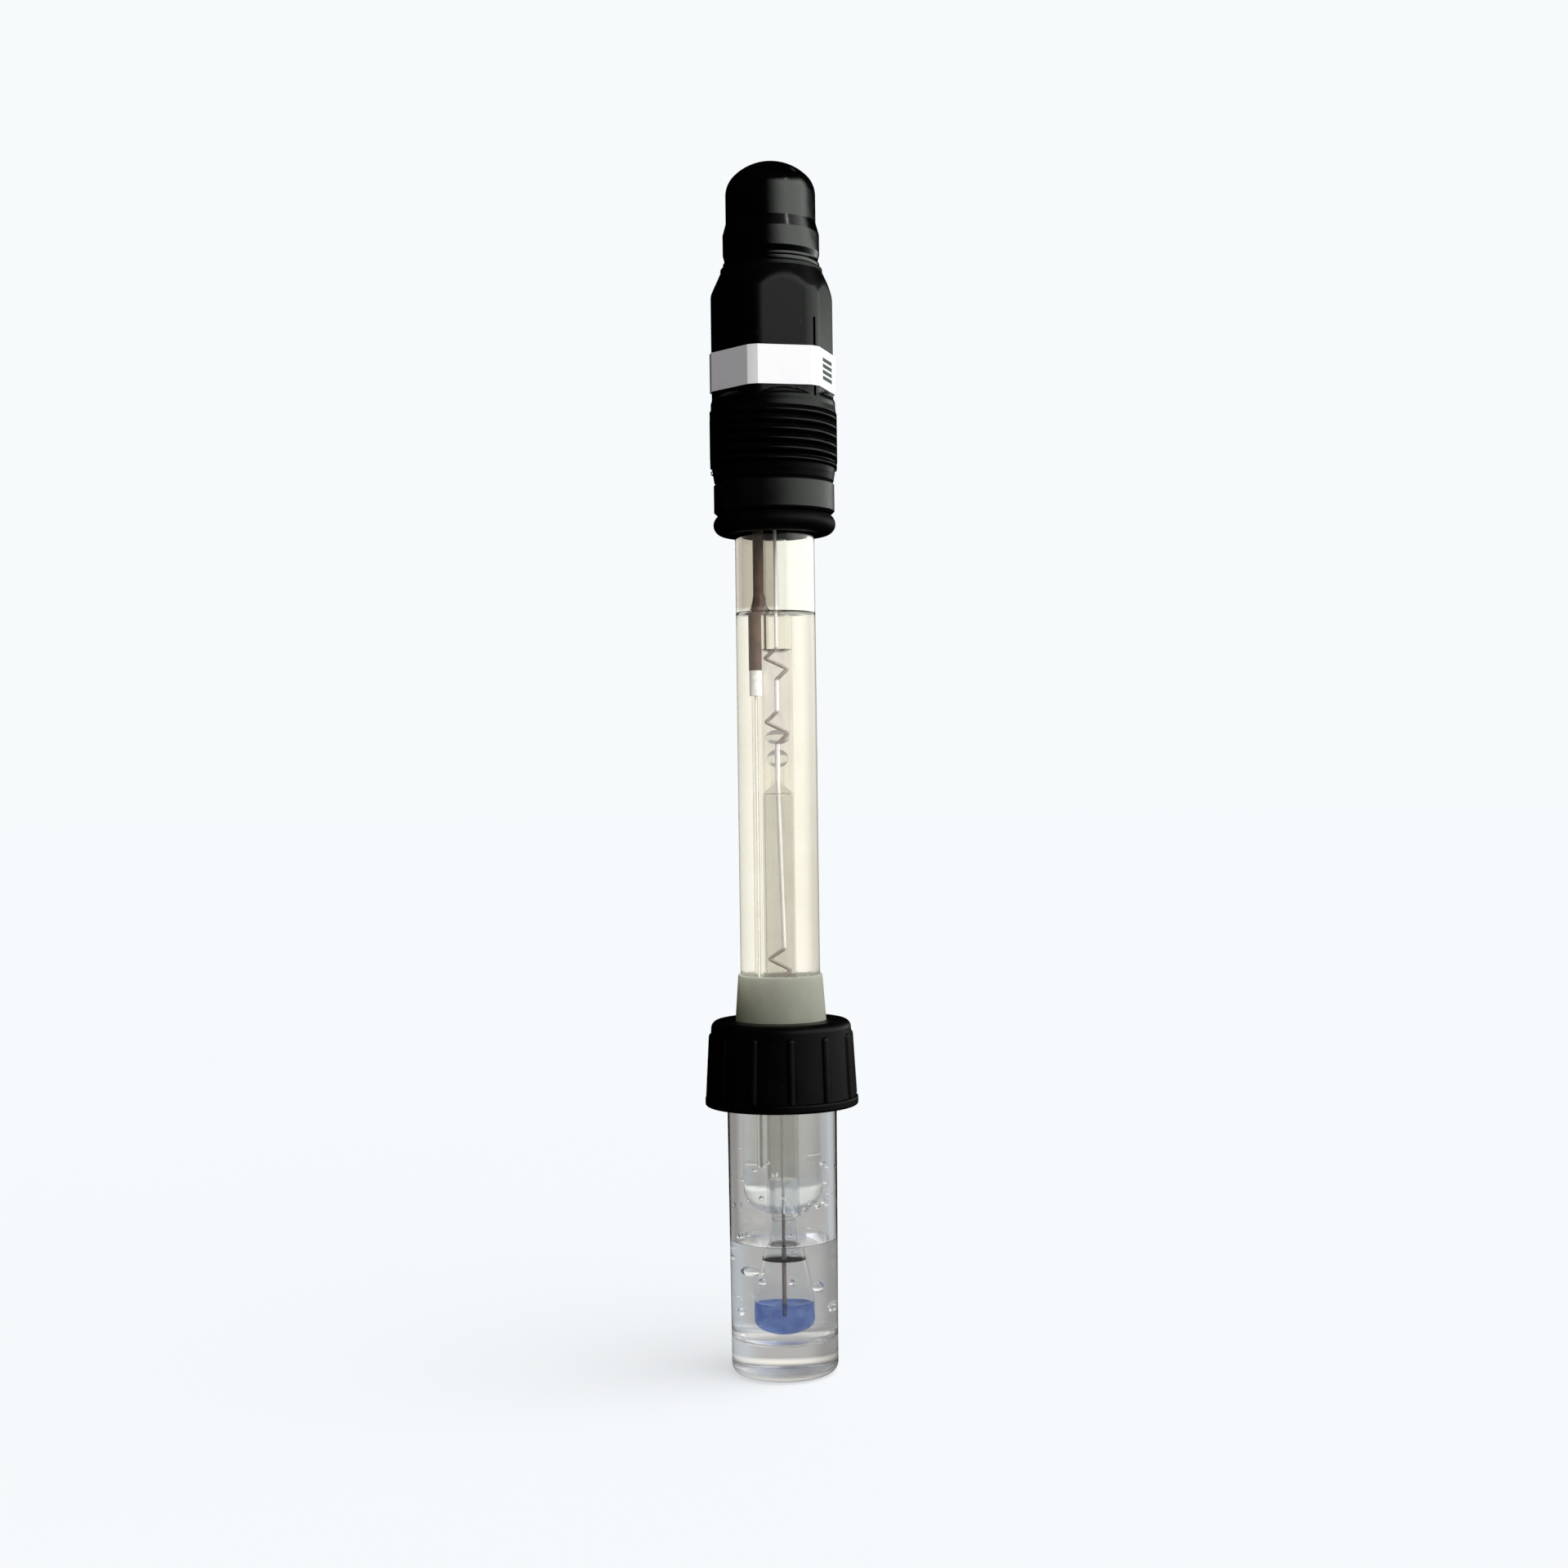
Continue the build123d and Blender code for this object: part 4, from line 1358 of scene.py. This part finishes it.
@dataclass
class GlassShaft:
    """Outer tube, inner tube, sensing bulb and the gels that fill them.

    The gels overlap the glass a little, so that no air shows between them.
    """

    shaft: float = 6.0
    shaft_wall: float = 1.0
    shaft_end: float = 4.0
    end_z: float = 24.0
    top_z: float = 151.9
    tube: float = 1.8
    tube_wall: float = 0.3
    tube_base_z: float = 22.8
    tube_top_z: float = 148.9
    tip_z: float = 6.0
    bulb: float = 3.4
    bulb_corner: float = 1.7
    belly_z: float = 8.2
    stem: float = 2.75
    stem_z: float = 15.6
    blue_top_z: float = 10.7
    blue_meniscus: float = 0.25
    bubble_top_z: float = 17.0
    buffer_top_z: float = 29.1
    shoulder_z: float = 86.8
    shoulder_rise: float = 0.5
    shoulder_round: float = 0.3
    neck: float = 0.75
    neck_z: float = 88.2
    neck_round: float = 0.45
    gel_gap: float = 0.02
    beads: tuple[Bead, ...] = (Bead("lower_bead", 1.2, 2.7, 92.35), Bead("upper_bead", 1.35, 2.2, 95.55))
    inner_fill_z: float = 108.75
    inner_meniscus: float = 0.45
    outer_fill_z: float = 114.4
    outer_meniscus: float = 0.5
    overlap: float = 0.1
    cartridge: Point = (-2.5, -1.0)
    sleeve: float = 0.8
    climb: float = 3.1
    climb_reach: float = 0.4
    capillary: float = 0.5
    capillary_bore: float = 0.2
    capillary_round: float = 0.15
    capillary_base_z: float = 31.0
    capillary_top_z: float = 101.8
    lead: KinkedWire = field(
        default_factory=lambda: KinkedWire(
            name="lead_wire",
            radius=0.25,
            low_z=8.7,
            top_z=156.9,
            bends_z=(62.2, 97.8, 107.4),
            drop=1.6,
            swing=1.24,
            sway=0.5,
            sway_z=63.8,
            sway_span=24.0,
        )
    )

    def outer_mesh(self) -> bpy.types.Mesh:
        """Glass shaft, its lower end drawn in to the inner tube.

        Returns:
            The mesh, in metres.
        """
        bore = self.shaft - self.shaft_wall
        seat = self.tube + HAIR_MM
        corners = [
            (seat, self.end_z, 0.0),
            (self.shaft, self.end_z, self.shaft_end),
            (self.shaft, self.top_z, 0.0),
            (bore, self.top_z, 0.0),
            (bore, self.end_z + self.shaft_wall, self.shaft_end - self.shaft_wall),
            (seat, self.end_z + self.shaft_wall, 0.0),
        ]
        return lathe("outer_glass", rounded(corners, steps=24), segments=192)

    def tube_mesh(self) -> bpy.types.Mesh:
        """Straight inner tube.

        Returns:
            The mesh, in metres.
        """
        bore = self.tube - self.tube_wall
        outline = [(bore, self.tube_base_z), (self.tube, self.tube_base_z)]
        outline += [(self.tube, self.tube_top_z), (bore, self.tube_top_z)]
        return lathe("inner_glass", outline, segments=96)

    def bulb_profile(self, inset: float, steps: int = 24) -> list[Point]:
        """Points of the pear-shaped bulb from its tip up to its neck.

        Args:
            inset: Distance in from the outer surface, in mm.
            steps: Pieces in each of its two stretches.

        Returns:
            Radius and height of each point, in mm.
        """
        fall = self.tip_z - self.belly_z + inset
        cap = dome(self.bulb - inset, self.bulb_corner - inset, fall, self.belly_z)
        points = list(reversed(cap))
        lower = self.stem_z - self.belly_z
        upper = self.tube_base_z - self.stem_z
        lean = 1.5 * ((self.stem - self.bulb) / lower**2 + (self.tube - self.stem) / upper**2)
        lean /= 1.0 / lower + 1.0 / upper
        spans = [
            (self.bulb, self.stem, 0.0, lean * lower, self.belly_z, lower),
            (self.stem, self.tube, lean * upper, 0.0, self.stem_z, upper),
        ]
        for start, end, leave, arrive, base, span in spans:
            for step in range(1, steps + 1):
                t = step / steps
                bend = t * (1.0 - t) * ((1.0 - t) * leave - t * arrive)
                radius = start + (end - start) * t * t * (3.0 - 2.0 * t) + bend
                points.append((radius - inset, base + span * t))
        return points

    def bulb_mesh(self) -> bpy.types.Mesh:
        """Thin glass of the bulb."""
        inner = self.bulb_profile(self.tube_wall)
        return lathe("bulb_glass", self.bulb_profile(0.0) + list(reversed(inner)), segments=128)

    @staticmethod
    def at_height(profile: Sequence[Point], height: float) -> Point:
        """Point of a rising profile at a height.

        Args:
            profile: Points by height, in mm.
            height: Height in mm.

        Returns:
            The point there, in mm.
        """
        for before, after in zip(profile, profile[1:]):
            if before[1] <= height <= after[1] and after[1] > before[1]:
                share = (height - before[1]) / (after[1] - before[1])
                return (before[0] + (after[0] - before[0]) * share, height)
        return profile[-1]

    def bulb_gel(self, name: str, low: float, high: float, arch: float) -> bpy.types.Mesh:
        """Part of the gel in the bulb, between two heights.

        Args:
            name: The mesh's name.
            low: Its lowest height, in mm.
            high: Its highest height, in mm.
            arch: Rise of its top, in mm.

        Returns:
            The mesh.
        """
        profile = self.bulb_profile(self.tube_wall - self.overlap)
        profile.append((self.tube - self.tube_wall + self.overlap, self.buffer_top_z))
        side = [self.at_height(profile, low)] if low > self.tip_z + self.tube_wall else []
        side += [point for point in profile if low < point[1] < high]
        side.append(self.at_height(profile, high))
        if side[0][0] > 0.0:
            side.insert(0, (0.0, side[0][1]))
        return lathe(name, side + bow(side[-1], (0.0, side[-1][1]), arch), segments=96)

    def column_mesh(self) -> bpy.types.Mesh:
        """Cloudy gel column up to its shoulder.

        Returns:
            The mesh, in metres.
        """
        radius = self.tube - self.tube_wall + self.overlap
        base = self.buffer_top_z + self.gel_gap
        top = self.shoulder_z - self.gel_gap
        return lathe("cloudy_column", [(0.0, base), (radius, base), (radius, top), (0.0, top)], segments=96)

    def neck_mesh(self) -> bpy.types.Mesh:
        """Rounded shoulder of the column and the neck above it, up to the middle of the lower bead.

        Returns:
            The mesh, in metres.
        """
        base = self.shoulder_z + 2.0 * self.gel_gap
        radius = self.tube - self.tube_wall
        top = self.beads[0].middle_z
        corners = [
            (0.0, base, 0.0),
            (radius, base, 0.0),
            (radius, self.shoulder_z + self.shoulder_rise, self.shoulder_round),
            (self.neck, self.neck_z, self.neck_round),
            (self.neck, top, 0.0),
            (0.0, top, 0.0),
        ]
        return lathe("column_neck", rounded(corners), segments=96)

    def upper_mesh(self) -> bpy.types.Mesh:
        """Clear gel above the column's shoulder.

        Returns:
            The mesh, in metres.
        """
        edge = (self.tube - self.tube_wall + self.overlap, self.inner_fill_z)
        base = self.shoulder_z + self.gel_gap
        outline = [(0.0, base), (edge[0], base), edge]
        outline += bow(edge, (0.0, self.inner_fill_z), -self.inner_meniscus)
        return lathe("upper_gel", outline, segments=96)

    def reference_mesh(self, rings: int = 40, segments: int = 192) -> bpy.types.Mesh:
        """Clear gel round the inner tube, its surface drawn up the brown sleeve.

        Args:
            rings: Rows across its upper surface.
            segments: Steps round the axis.

        Returns:
            The mesh.
        """
        wall = self.shaft - self.shaft_wall + self.overlap
        hub = self.tube - self.overlap
        floor_z = self.end_z + self.shaft_wall - self.overlap
        corners = [
            (hub, floor_z, 0.0),
            (wall, floor_z, self.shaft_end - self.shaft_wall + self.overlap),
            (wall, self.outer_fill_z, 0.0),
            (hub, self.outer_fill_z, 0.0),
        ]
        outline = rounded(corners, steps=24)[:-1]
        outline += bow((wall, self.outer_fill_z), (hub, self.outer_fill_z), -self.outer_meniscus, rings)
        mesh = lathe("reference_gel_fill", outline, segments)
        surface = (self.outer_fill_z - self.outer_meniscus - HAIR_MM) * MM
        for vertex in mesh.vertices:
            if vertex.co.z > surface:
                away = math.hypot(vertex.co.x / MM - self.cartridge[0], vertex.co.y / MM - self.cartridge[1])
                vertex.co.z += self.climb * MM * math.exp(-max(away - self.sleeve, 0.0) / self.climb_reach)
        return mesh

    def capillary_mesh(self) -> bpy.types.Mesh:
        """Fine capillary with a softened lower end.

        Returns:
            The mesh, in metres.
        """
        corners = [
            (self.capillary_bore, self.capillary_base_z, 0.0),
            (self.capillary, self.capillary_base_z, self.capillary_round),
            (self.capillary, self.capillary_top_z, 0.0),
            (self.capillary_bore, self.capillary_top_z, 0.0),
        ]
        return lathe("capillary", rounded(corners), segments=48, axis=self.cartridge)

    def build(self, bench: Bench) -> None:
        """Adds the glass, the gels and the leads in them.

        Args:
            bench: Where pieces and materials are kept.
        """
        body = Body.ELECTRODE
        bench.set_piece(self.outer_mesh(), body, OUTER_GLASS, ["outer_tube"])
        bench.set_piece(self.tube_mesh(), body, SHAFT_GLASS, ["inner_tube"])
        bench.set_piece(self.bulb_mesh(), body, BULB_GLASS, ["ph_bulb"])
        blue = self.bulb_gel("blue_gel_fill", self.tip_z, self.blue_top_z, -self.blue_meniscus)
        bench.set_piece(blue, body, BLUE_GEL, ["bulb_buffer"])
        buffer = self.bulb_gel("bulb_gel_fill", self.bubble_top_z, self.buffer_top_z, 0.0)
        bench.set_piece(buffer, body, BULB_GEL, ["inner_buffer"])
        bench.set_piece(self.column_mesh(), body, GREY_GEL, ["gel_column"])
        bench.set_piece(self.neck_mesh(), body, NECK_GEL)
        for bead in self.beads:
            bench.set_piece(bead.mesh(), body, BEAD_GEL)
        bench.set_piece(self.upper_mesh(), body, INNER_GEL, ["upper_buffer"])
        bench.set_piece(self.reference_mesh(), body, CLEAR_GEL, ["reference_gel"])
        bench.set_piece(self.capillary_mesh(), body, CAPILLARY_GLASS, ["reference_capillary"])
        bench.grow_piece(self.lead, body, LEAD_WIRE, ["inner_lead"])
        bench.dress_nodes(
            {
                "reference_lead": SILVER,
                "reference_sleeve": BROWN_SLEEVE,
                "reference_plug": WHITE_PLUG,
                "ceramic_junction": JUNCTION_CERAMIC,
            }
        )


@dataclass
class StorageCap:
    """Clear vial, its solution, the screw ring and the grey seal."""

    base: float = 8.0
    top: float = 8.25
    body_z: float = 40.0
    neck: float = 7.95
    rim_z: float = 50.0
    bore: float = 7.0
    floor_z: float = 5.2
    edge: float = 1.4
    floor_edge: float = 1.2
    rim_edge: float = 0.25
    liquid_z: float = 19.6
    liquid_rise: float = 0.45
    liquid_cling: float = 9.0
    liquid_steps: int = 24
    overlap: float = 0.1
    thread_crest: float = 8.65
    thread_pitch: float = 2.5
    thread_turns: float = 2.6
    thread_z: float = 41.9
    thread_foot: float = 1.3
    thread_tip: float = 0.5
    seal_bore: float = 6.06
    seal_skirt: float = 6.9
    seal_skirt_z: float = 45.5
    seal_base_z: float = 50.05
    seal_flange: float = 8.2
    seal_flange_z: float = 51.55
    seal_collar: float = 6.85
    seal_collar_z: float = 53.0
    seal_lip: float = 6.36
    seal_lip_rounds: Point = (0.13, 0.08)
    seal_top_z: float = 59.8
    seal_round: float = 0.12
    seal_drops: Droplets = field(
        default_factory=lambda: Droplets(
            "seal_drops", rim=6.16, rim_z=59.82, count=46, smallest=0.05, largest=0.15,
            scatter=0.1, rise=0.14, seed=7,
        )
    )
    wall_drops: Droplets = field(
        default_factory=lambda: Droplets(
            "wall_drops", rim=6.74, rim_z=20.3, count=40, smallest=0.16, largest=0.58,
            scatter=0.06, rise=13.0, seed=11,
        )
    )
    bubbles: Droplets = field(
        default_factory=lambda: Droplets(
            "solution_bubbles", rim=5.9, rim_z=9.0, count=9, smallest=0.4, largest=0.9,
            scatter=0.1, rise=8.6, seed=5,
        )
    )

    def vial_mesh(self) -> bpy.types.Mesh:
        """Clear vial with a thick base.

        Returns:
            The mesh, in metres.
        """
        corners = [
            (0.0, 0.0, 0.0),
            (self.base, 0.0, self.edge),
            (self.top, self.body_z, self.rim_edge),
            (self.neck, self.body_z, 0.0),
            (self.neck, self.rim_z, self.rim_edge),
            (self.bore, self.rim_z, self.rim_edge),
            (self.bore, self.floor_z, self.floor_edge),
            (0.0, self.floor_z, 0.0),
        ]
        return lathe("vial", rounded(corners, steps=12), segments=192)

    def liquid_mesh(self) -> bpy.types.Mesh:
        """Storage solution with its meniscus.

        Returns:
            The mesh, in metres.
        """
        radius = self.bore + self.overlap
        low = self.floor_z - self.overlap
        high = self.liquid_z + self.liquid_rise
        corners = [(0.0, low, 0.0), (radius, low, self.floor_edge), (radius, high, 0.0), (0.0, high, 0.0)]
        outline = rounded(corners, steps=12)[:-1]
        for step in range(1, self.liquid_steps + 1):
            share = step / self.liquid_steps
            drop = self.liquid_rise * (1.0 - math.exp(-self.liquid_cling * share))
            outline.append((radius * (1.0 - share), high - drop))
        return lathe("storage_solution", outline, segments=192)

    def seal_mesh(self) -> bpy.types.Mesh:
        """Grey seal with softened edges.

        Returns:
            The mesh, in metres.
        """
        corners = [
            (self.seal_bore, self.seal_skirt_z, 0.0),
            (self.seal_skirt, self.seal_skirt_z, self.seal_round),
            (self.seal_skirt, self.seal_base_z, 0.0),
            (self.seal_flange, self.seal_base_z, self.seal_round),
            (self.seal_flange, self.seal_flange_z, self.seal_round),
            (self.seal_collar, self.seal_flange_z, 0.0),
            (self.seal_collar, self.seal_collar_z, 0.0),
            (self.seal_lip, self.seal_top_z, self.seal_lip_rounds[0]),
            (self.seal_bore, self.seal_top_z, self.seal_lip_rounds[1]),
        ]
        return lathe("seal", rounded(corners), segments=144)

    def thread(self) -> Helix:
        """Coarse thread of the vial's neck.

        Returns:
            The ridge, as a piece to grow.
        """
        return Helix(
            name="vial_thread",
            base_z=self.thread_z,
            root=self.neck,
            crest=self.thread_crest,
            pitch=self.thread_pitch,
            turns=self.thread_turns,
            foot_width=self.thread_foot,
            crest_width=self.thread_tip,
            sink=0.15,
            fade=0.08,
        )

    def build(self, bench: Bench) -> None:
        """Adds the vial with its thread and solution, the seal with its drops, and the ring.

        Args:
            bench: Where pieces and materials are kept.
        """
        bench.set_piece(self.vial_mesh(), Body.VIAL, VIAL_PLASTIC, ["storage_vial"])
        bench.grow_piece(self.thread(), Body.VIAL, VIAL_PLASTIC)
        bench.set_piece(self.liquid_mesh(), Body.VIAL, STORAGE_LIQUID)
        bench.set_piece(self.seal_mesh(), Body.SEAL, SEAL_SILICONE, ["seal_sleeve"])
        bench.grow_piece(self.seal_drops, Body.SEAL, DROPLET)
        bench.grow_piece(self.wall_drops, Body.VIAL, DROPLET)
        bench.grow_piece(self.bubbles, Body.VIAL, BUBBLE)
        bench.dress_nodes({"screw_ring": RING_PLASTIC})


@dataclass
class Studio:
    """Pale floor, soft light and the camera.

    Angles are degrees, azimuths from the front towards the right.
    """

    lens_mm: float = 49.7
    sensor_mm: float = 36.0
    clip_m: Point = (0.01, 20.0)
    distance_mm: float = 327.0
    aim_x_mm: float = 0.93
    aim_z_mm: float = 88.5
    roll: float = -0.75
    floor_mm: float = 6000.0
    floor_gap_mm: float = 0.15
    floor_sides: int = 96
    backdrop: Colour = (0.93, 0.955, 0.97)
    wall: Colour = (1.14, 1.105, 1.0)
    table: Colour = (0.49, 0.475, 0.455)
    left: tuple[Colour, Colour] = ((0.32, 0.31, 0.3), (0.78, 0.74, 0.67))
    right: tuple[Colour, Colour] = ((0.58, 0.61, 0.64), (1.02, 1.0, 0.92))
    near: tuple[Colour, Colour] = ((0.36, 0.35, 0.33), (0.6, 0.6, 0.58))
    under: Colour = (0.5, 0.485, 0.455)
    fill: tuple[Colour, Colour] = ((0.09, 0.085, 0.09), (0.55, 0.56, 0.57))
    window: Colour = (2.55, 2.7, 2.55)
    dark: Colour = (0.001, 0.001, 0.001)
    lamp: Colour = (20.0, 20.0, 20.0)
    wall_foot: Point = (-8.5, -5.0)
    wall_head: Point = (8.0, 15.0)
    near_edges: Point = (15.0, 29.0)
    under_edges: Point = (-39.0, -25.0)
    side_edges: Point = (-0.2, 0.2)
    front_edges: Point = (-0.8, -0.3)
    behind_edges: Point = (0.8, 0.96)
    fill_edges: Point = (-0.5, 0.5)
    window_from: Point = (45.0, -2.0)
    window_from_heights: Point = (0.0, 15.0)
    window_from_edges: Point = (-10.0, 45.0)
    window_to: Point = (152.0, 112.0)
    window_to_heights: Point = (11.0, 15.0)
    window_to_edges: Point = (-21.0, 7.0)
    window_low: float = 1.0
    window_high: float = 38.0
    window_soft: float = 7.0
    lamp_azimuth: float = 48.0
    lamp_height: float = 42.0
    lamp_edges: Point = (1.25, 2.5)
    key_strength: float = 1.38
    key_azimuth: float = 58.0
    key_height: float = 50.0
    key_size: float = 80.0
    clear_bounces: int = 40
    glossy_bounces: int = 8
    diffuse_bounces: int = 4

    def camera(self) -> None:
        """Level camera in front, turned a little about its own axis."""
        lens = bpy.data.cameras.new("camera")
        lens.sensor_width = self.sensor_mm
        lens.lens = self.lens_mm
        lens.clip_start, lens.clip_end = self.clip_m
        eye = bpy.data.objects.new("camera", lens)
        eye.location = (self.aim_x_mm * MM, -self.distance_mm * MM, self.aim_z_mm * MM)
        level = Matrix.Rotation(math.pi / 2.0, 4, "X")
        eye.rotation_euler = (level @ Matrix.Rotation(math.radians(self.roll), 4, "Z")).to_euler()
        bpy.context.scene.collection.objects.link(eye)
        bpy.context.scene.camera = eye

    def floor(self, bench: Bench) -> None:
        """Round pale floor under the part, which neither lights it nor shows in it.

        Args:
            bench: Where pieces and materials are kept.
        """
        work = bmesh.new()
        bmesh.ops.create_circle(work, cap_ends=True, segments=self.floor_sides, radius=self.floor_mm * MM)
        bmesh.ops.translate(work, verts=work.verts, vec=(0.0, 0.0, -self.floor_gap_mm * MM))
        mesh = bpy.data.meshes.new("floor")
        work.to_mesh(mesh)
        work.free()
        mesh.materials.append(bench.finish(FLOOR))
        ground = bpy.data.objects.new("floor", mesh)
        ground.visible_glossy = False
        ground.visible_diffuse = False
        ground.visible_transmission = False
        bpy.context.scene.collection.objects.link(ground)

    def key(self) -> None:
        """Broad soft light from the front right."""
        lamp = bpy.data.lights.new("key", "SUN")
        lamp.energy = self.key_strength * math.pi
        lamp.angle = math.radians(self.key_size)
        light = bpy.data.objects.new("key", lamp)
        tilt = Matrix.Rotation(math.radians(90.0 - self.key_height), 4, "X")
        turn = Matrix.Rotation(math.radians(self.key_azimuth), 4, "Z")
        light.rotation_euler = (turn @ tilt).to_euler()
        light.visible_glossy = False
        bpy.context.scene.collection.objects.link(light)

    def mirrored(self, graph: Graph, azimuth: Wire, elevation: Wire) -> Wire:
        """What glossy surfaces mirror: a dark room with a window on the right and one small lamp.

        Args:
            graph: The world's graph.
            azimuth: Direction round the part.
            elevation: Direction above the level.

        Returns:
            The colour.
        """
        # Both sides of the window lean: their azimuths change with the height.
        start = azimuth - elevation.ramp(*self.window_from_heights, *self.window_from)
        end = azimuth - elevation.ramp(*self.window_to_heights, *self.window_to)
        across = start.ramp(*self.window_from_edges) * (1.0 - end.ramp(*self.window_to_edges))
        upward = elevation.band(self.window_low, self.window_high, self.window_soft)
        room = graph.blend(across * upward, self.dark, self.window)
        aside = azimuth - self.lamp_azimuth
        above = elevation - self.lamp_height
        off = above.math("SQRT", aside * aside + above * above)
        return graph.blend(off.ramp(*self.lamp_edges), self.lamp, room)

    def seen(self, graph: Graph, east: Wire, north: Wire, elevation: Wire) -> Wire:
        """What shows through the glass: a bright wall over a table, and the room's darker sides.

        Args:
            graph: The world's graph.
            east: Share of the direction to the right.
            north: Share of the direction to the back.
            elevation: Direction above the level.

        Returns:
            The colour.
        """
        bright = elevation.ramp(*self.wall_foot) * (1.0 - elevation.ramp(*self.wall_head))
        behind = graph.blend(bright, self.table, self.wall)
        left = graph.blend(bright, *self.left)
        right = graph.blend(bright, *self.right)
        steep = elevation.math("ABSOLUTE", elevation)
        near = graph.blend(1.0 - steep.ramp(*self.near_edges), *self.near)
        aside = graph.blend(east.ramp(*self.side_edges), left, right)
        aside = graph.blend(north.ramp(*self.front_edges), near, aside)
        room = graph.blend(north.ramp(*self.behind_edges), aside, behind)
        return graph.blend(elevation.ramp(*self.under_edges), self.under, room)

    def surround(self) -> None:
        """World: plain to the camera, a room to the glass, and a dark one with a window to what is glossy."""
        world = bpy.data.worlds.new("surround")
        world.use_nodes = True
        world.cycles.sampling_method = "NONE"
        bpy.context.scene.world = world
        graph = Graph(world.node_tree)
        graph.tree.nodes.clear()
        direction = graph.add("ShaderNodeTexCoord", output="Generated")
        east = graph.add("ShaderNodeSeparateXYZ", sockets={0: direction}, output="X")
        north = east.twin("Y")
        up = east.twin("Z")
        degrees = math.degrees(1.0)
        azimuth = east.math("ARCTAN2", east, 0.0 - north) * degrees
        elevation = up.math("ARCSINE", up) * degrees
        path = graph.add("ShaderNodeLightPath", output="Is Camera Ray")
        light = graph.blend(east.ramp(*self.fill_edges), *self.fill)
        light = graph.blend(path.twin("Is Glossy Ray"), light, self.mirrored(graph, azimuth, elevation))
        light = graph.blend(path.twin("Is Transmission Ray"), light, self.seen(graph, east, north, elevation))
        light = graph.blend(path, light, self.backdrop)
        background = graph.add("ShaderNodeBackground", sockets={"Color": light, "Strength": 1.0})
        graph.add("ShaderNodeOutputWorld", sockets={"Surface": background})

    def picture(self) -> None:
        """Plain colour and enough light paths for glass within glass."""
        scene = bpy.context.scene
        scene.view_settings.view_transform = "Standard"
        scene.cycles.max_bounces = self.clear_bounces
        scene.cycles.transmission_bounces = self.clear_bounces
        scene.cycles.glossy_bounces = self.glossy_bounces
        scene.cycles.diffuse_bounces = self.diffuse_bounces
        scene.cycles.use_denoising = True

    def build(self, bench: Bench) -> None:
        """Adds the floor, the lights and the camera.

        Args:
            bench: Where pieces and materials are kept.
        """
        self.camera()
        self.floor(bench)
        self.key()
        self.surround()
        self.picture()


def main() -> None:
    """Builds each sub-assembly, then the studio round them."""
    logging.basicConfig(level=logging.INFO, format="%(name)s: %(message)s")
    bench = Bench()
    for assembly in (ConnectorEnd(), PlugHead(), GlassShaft(), StorageCap(), Studio()):
        LOG.info("building %s", type(assembly).__name__)
        assembly.build(bench)


if __name__ == "__main__":
    main()
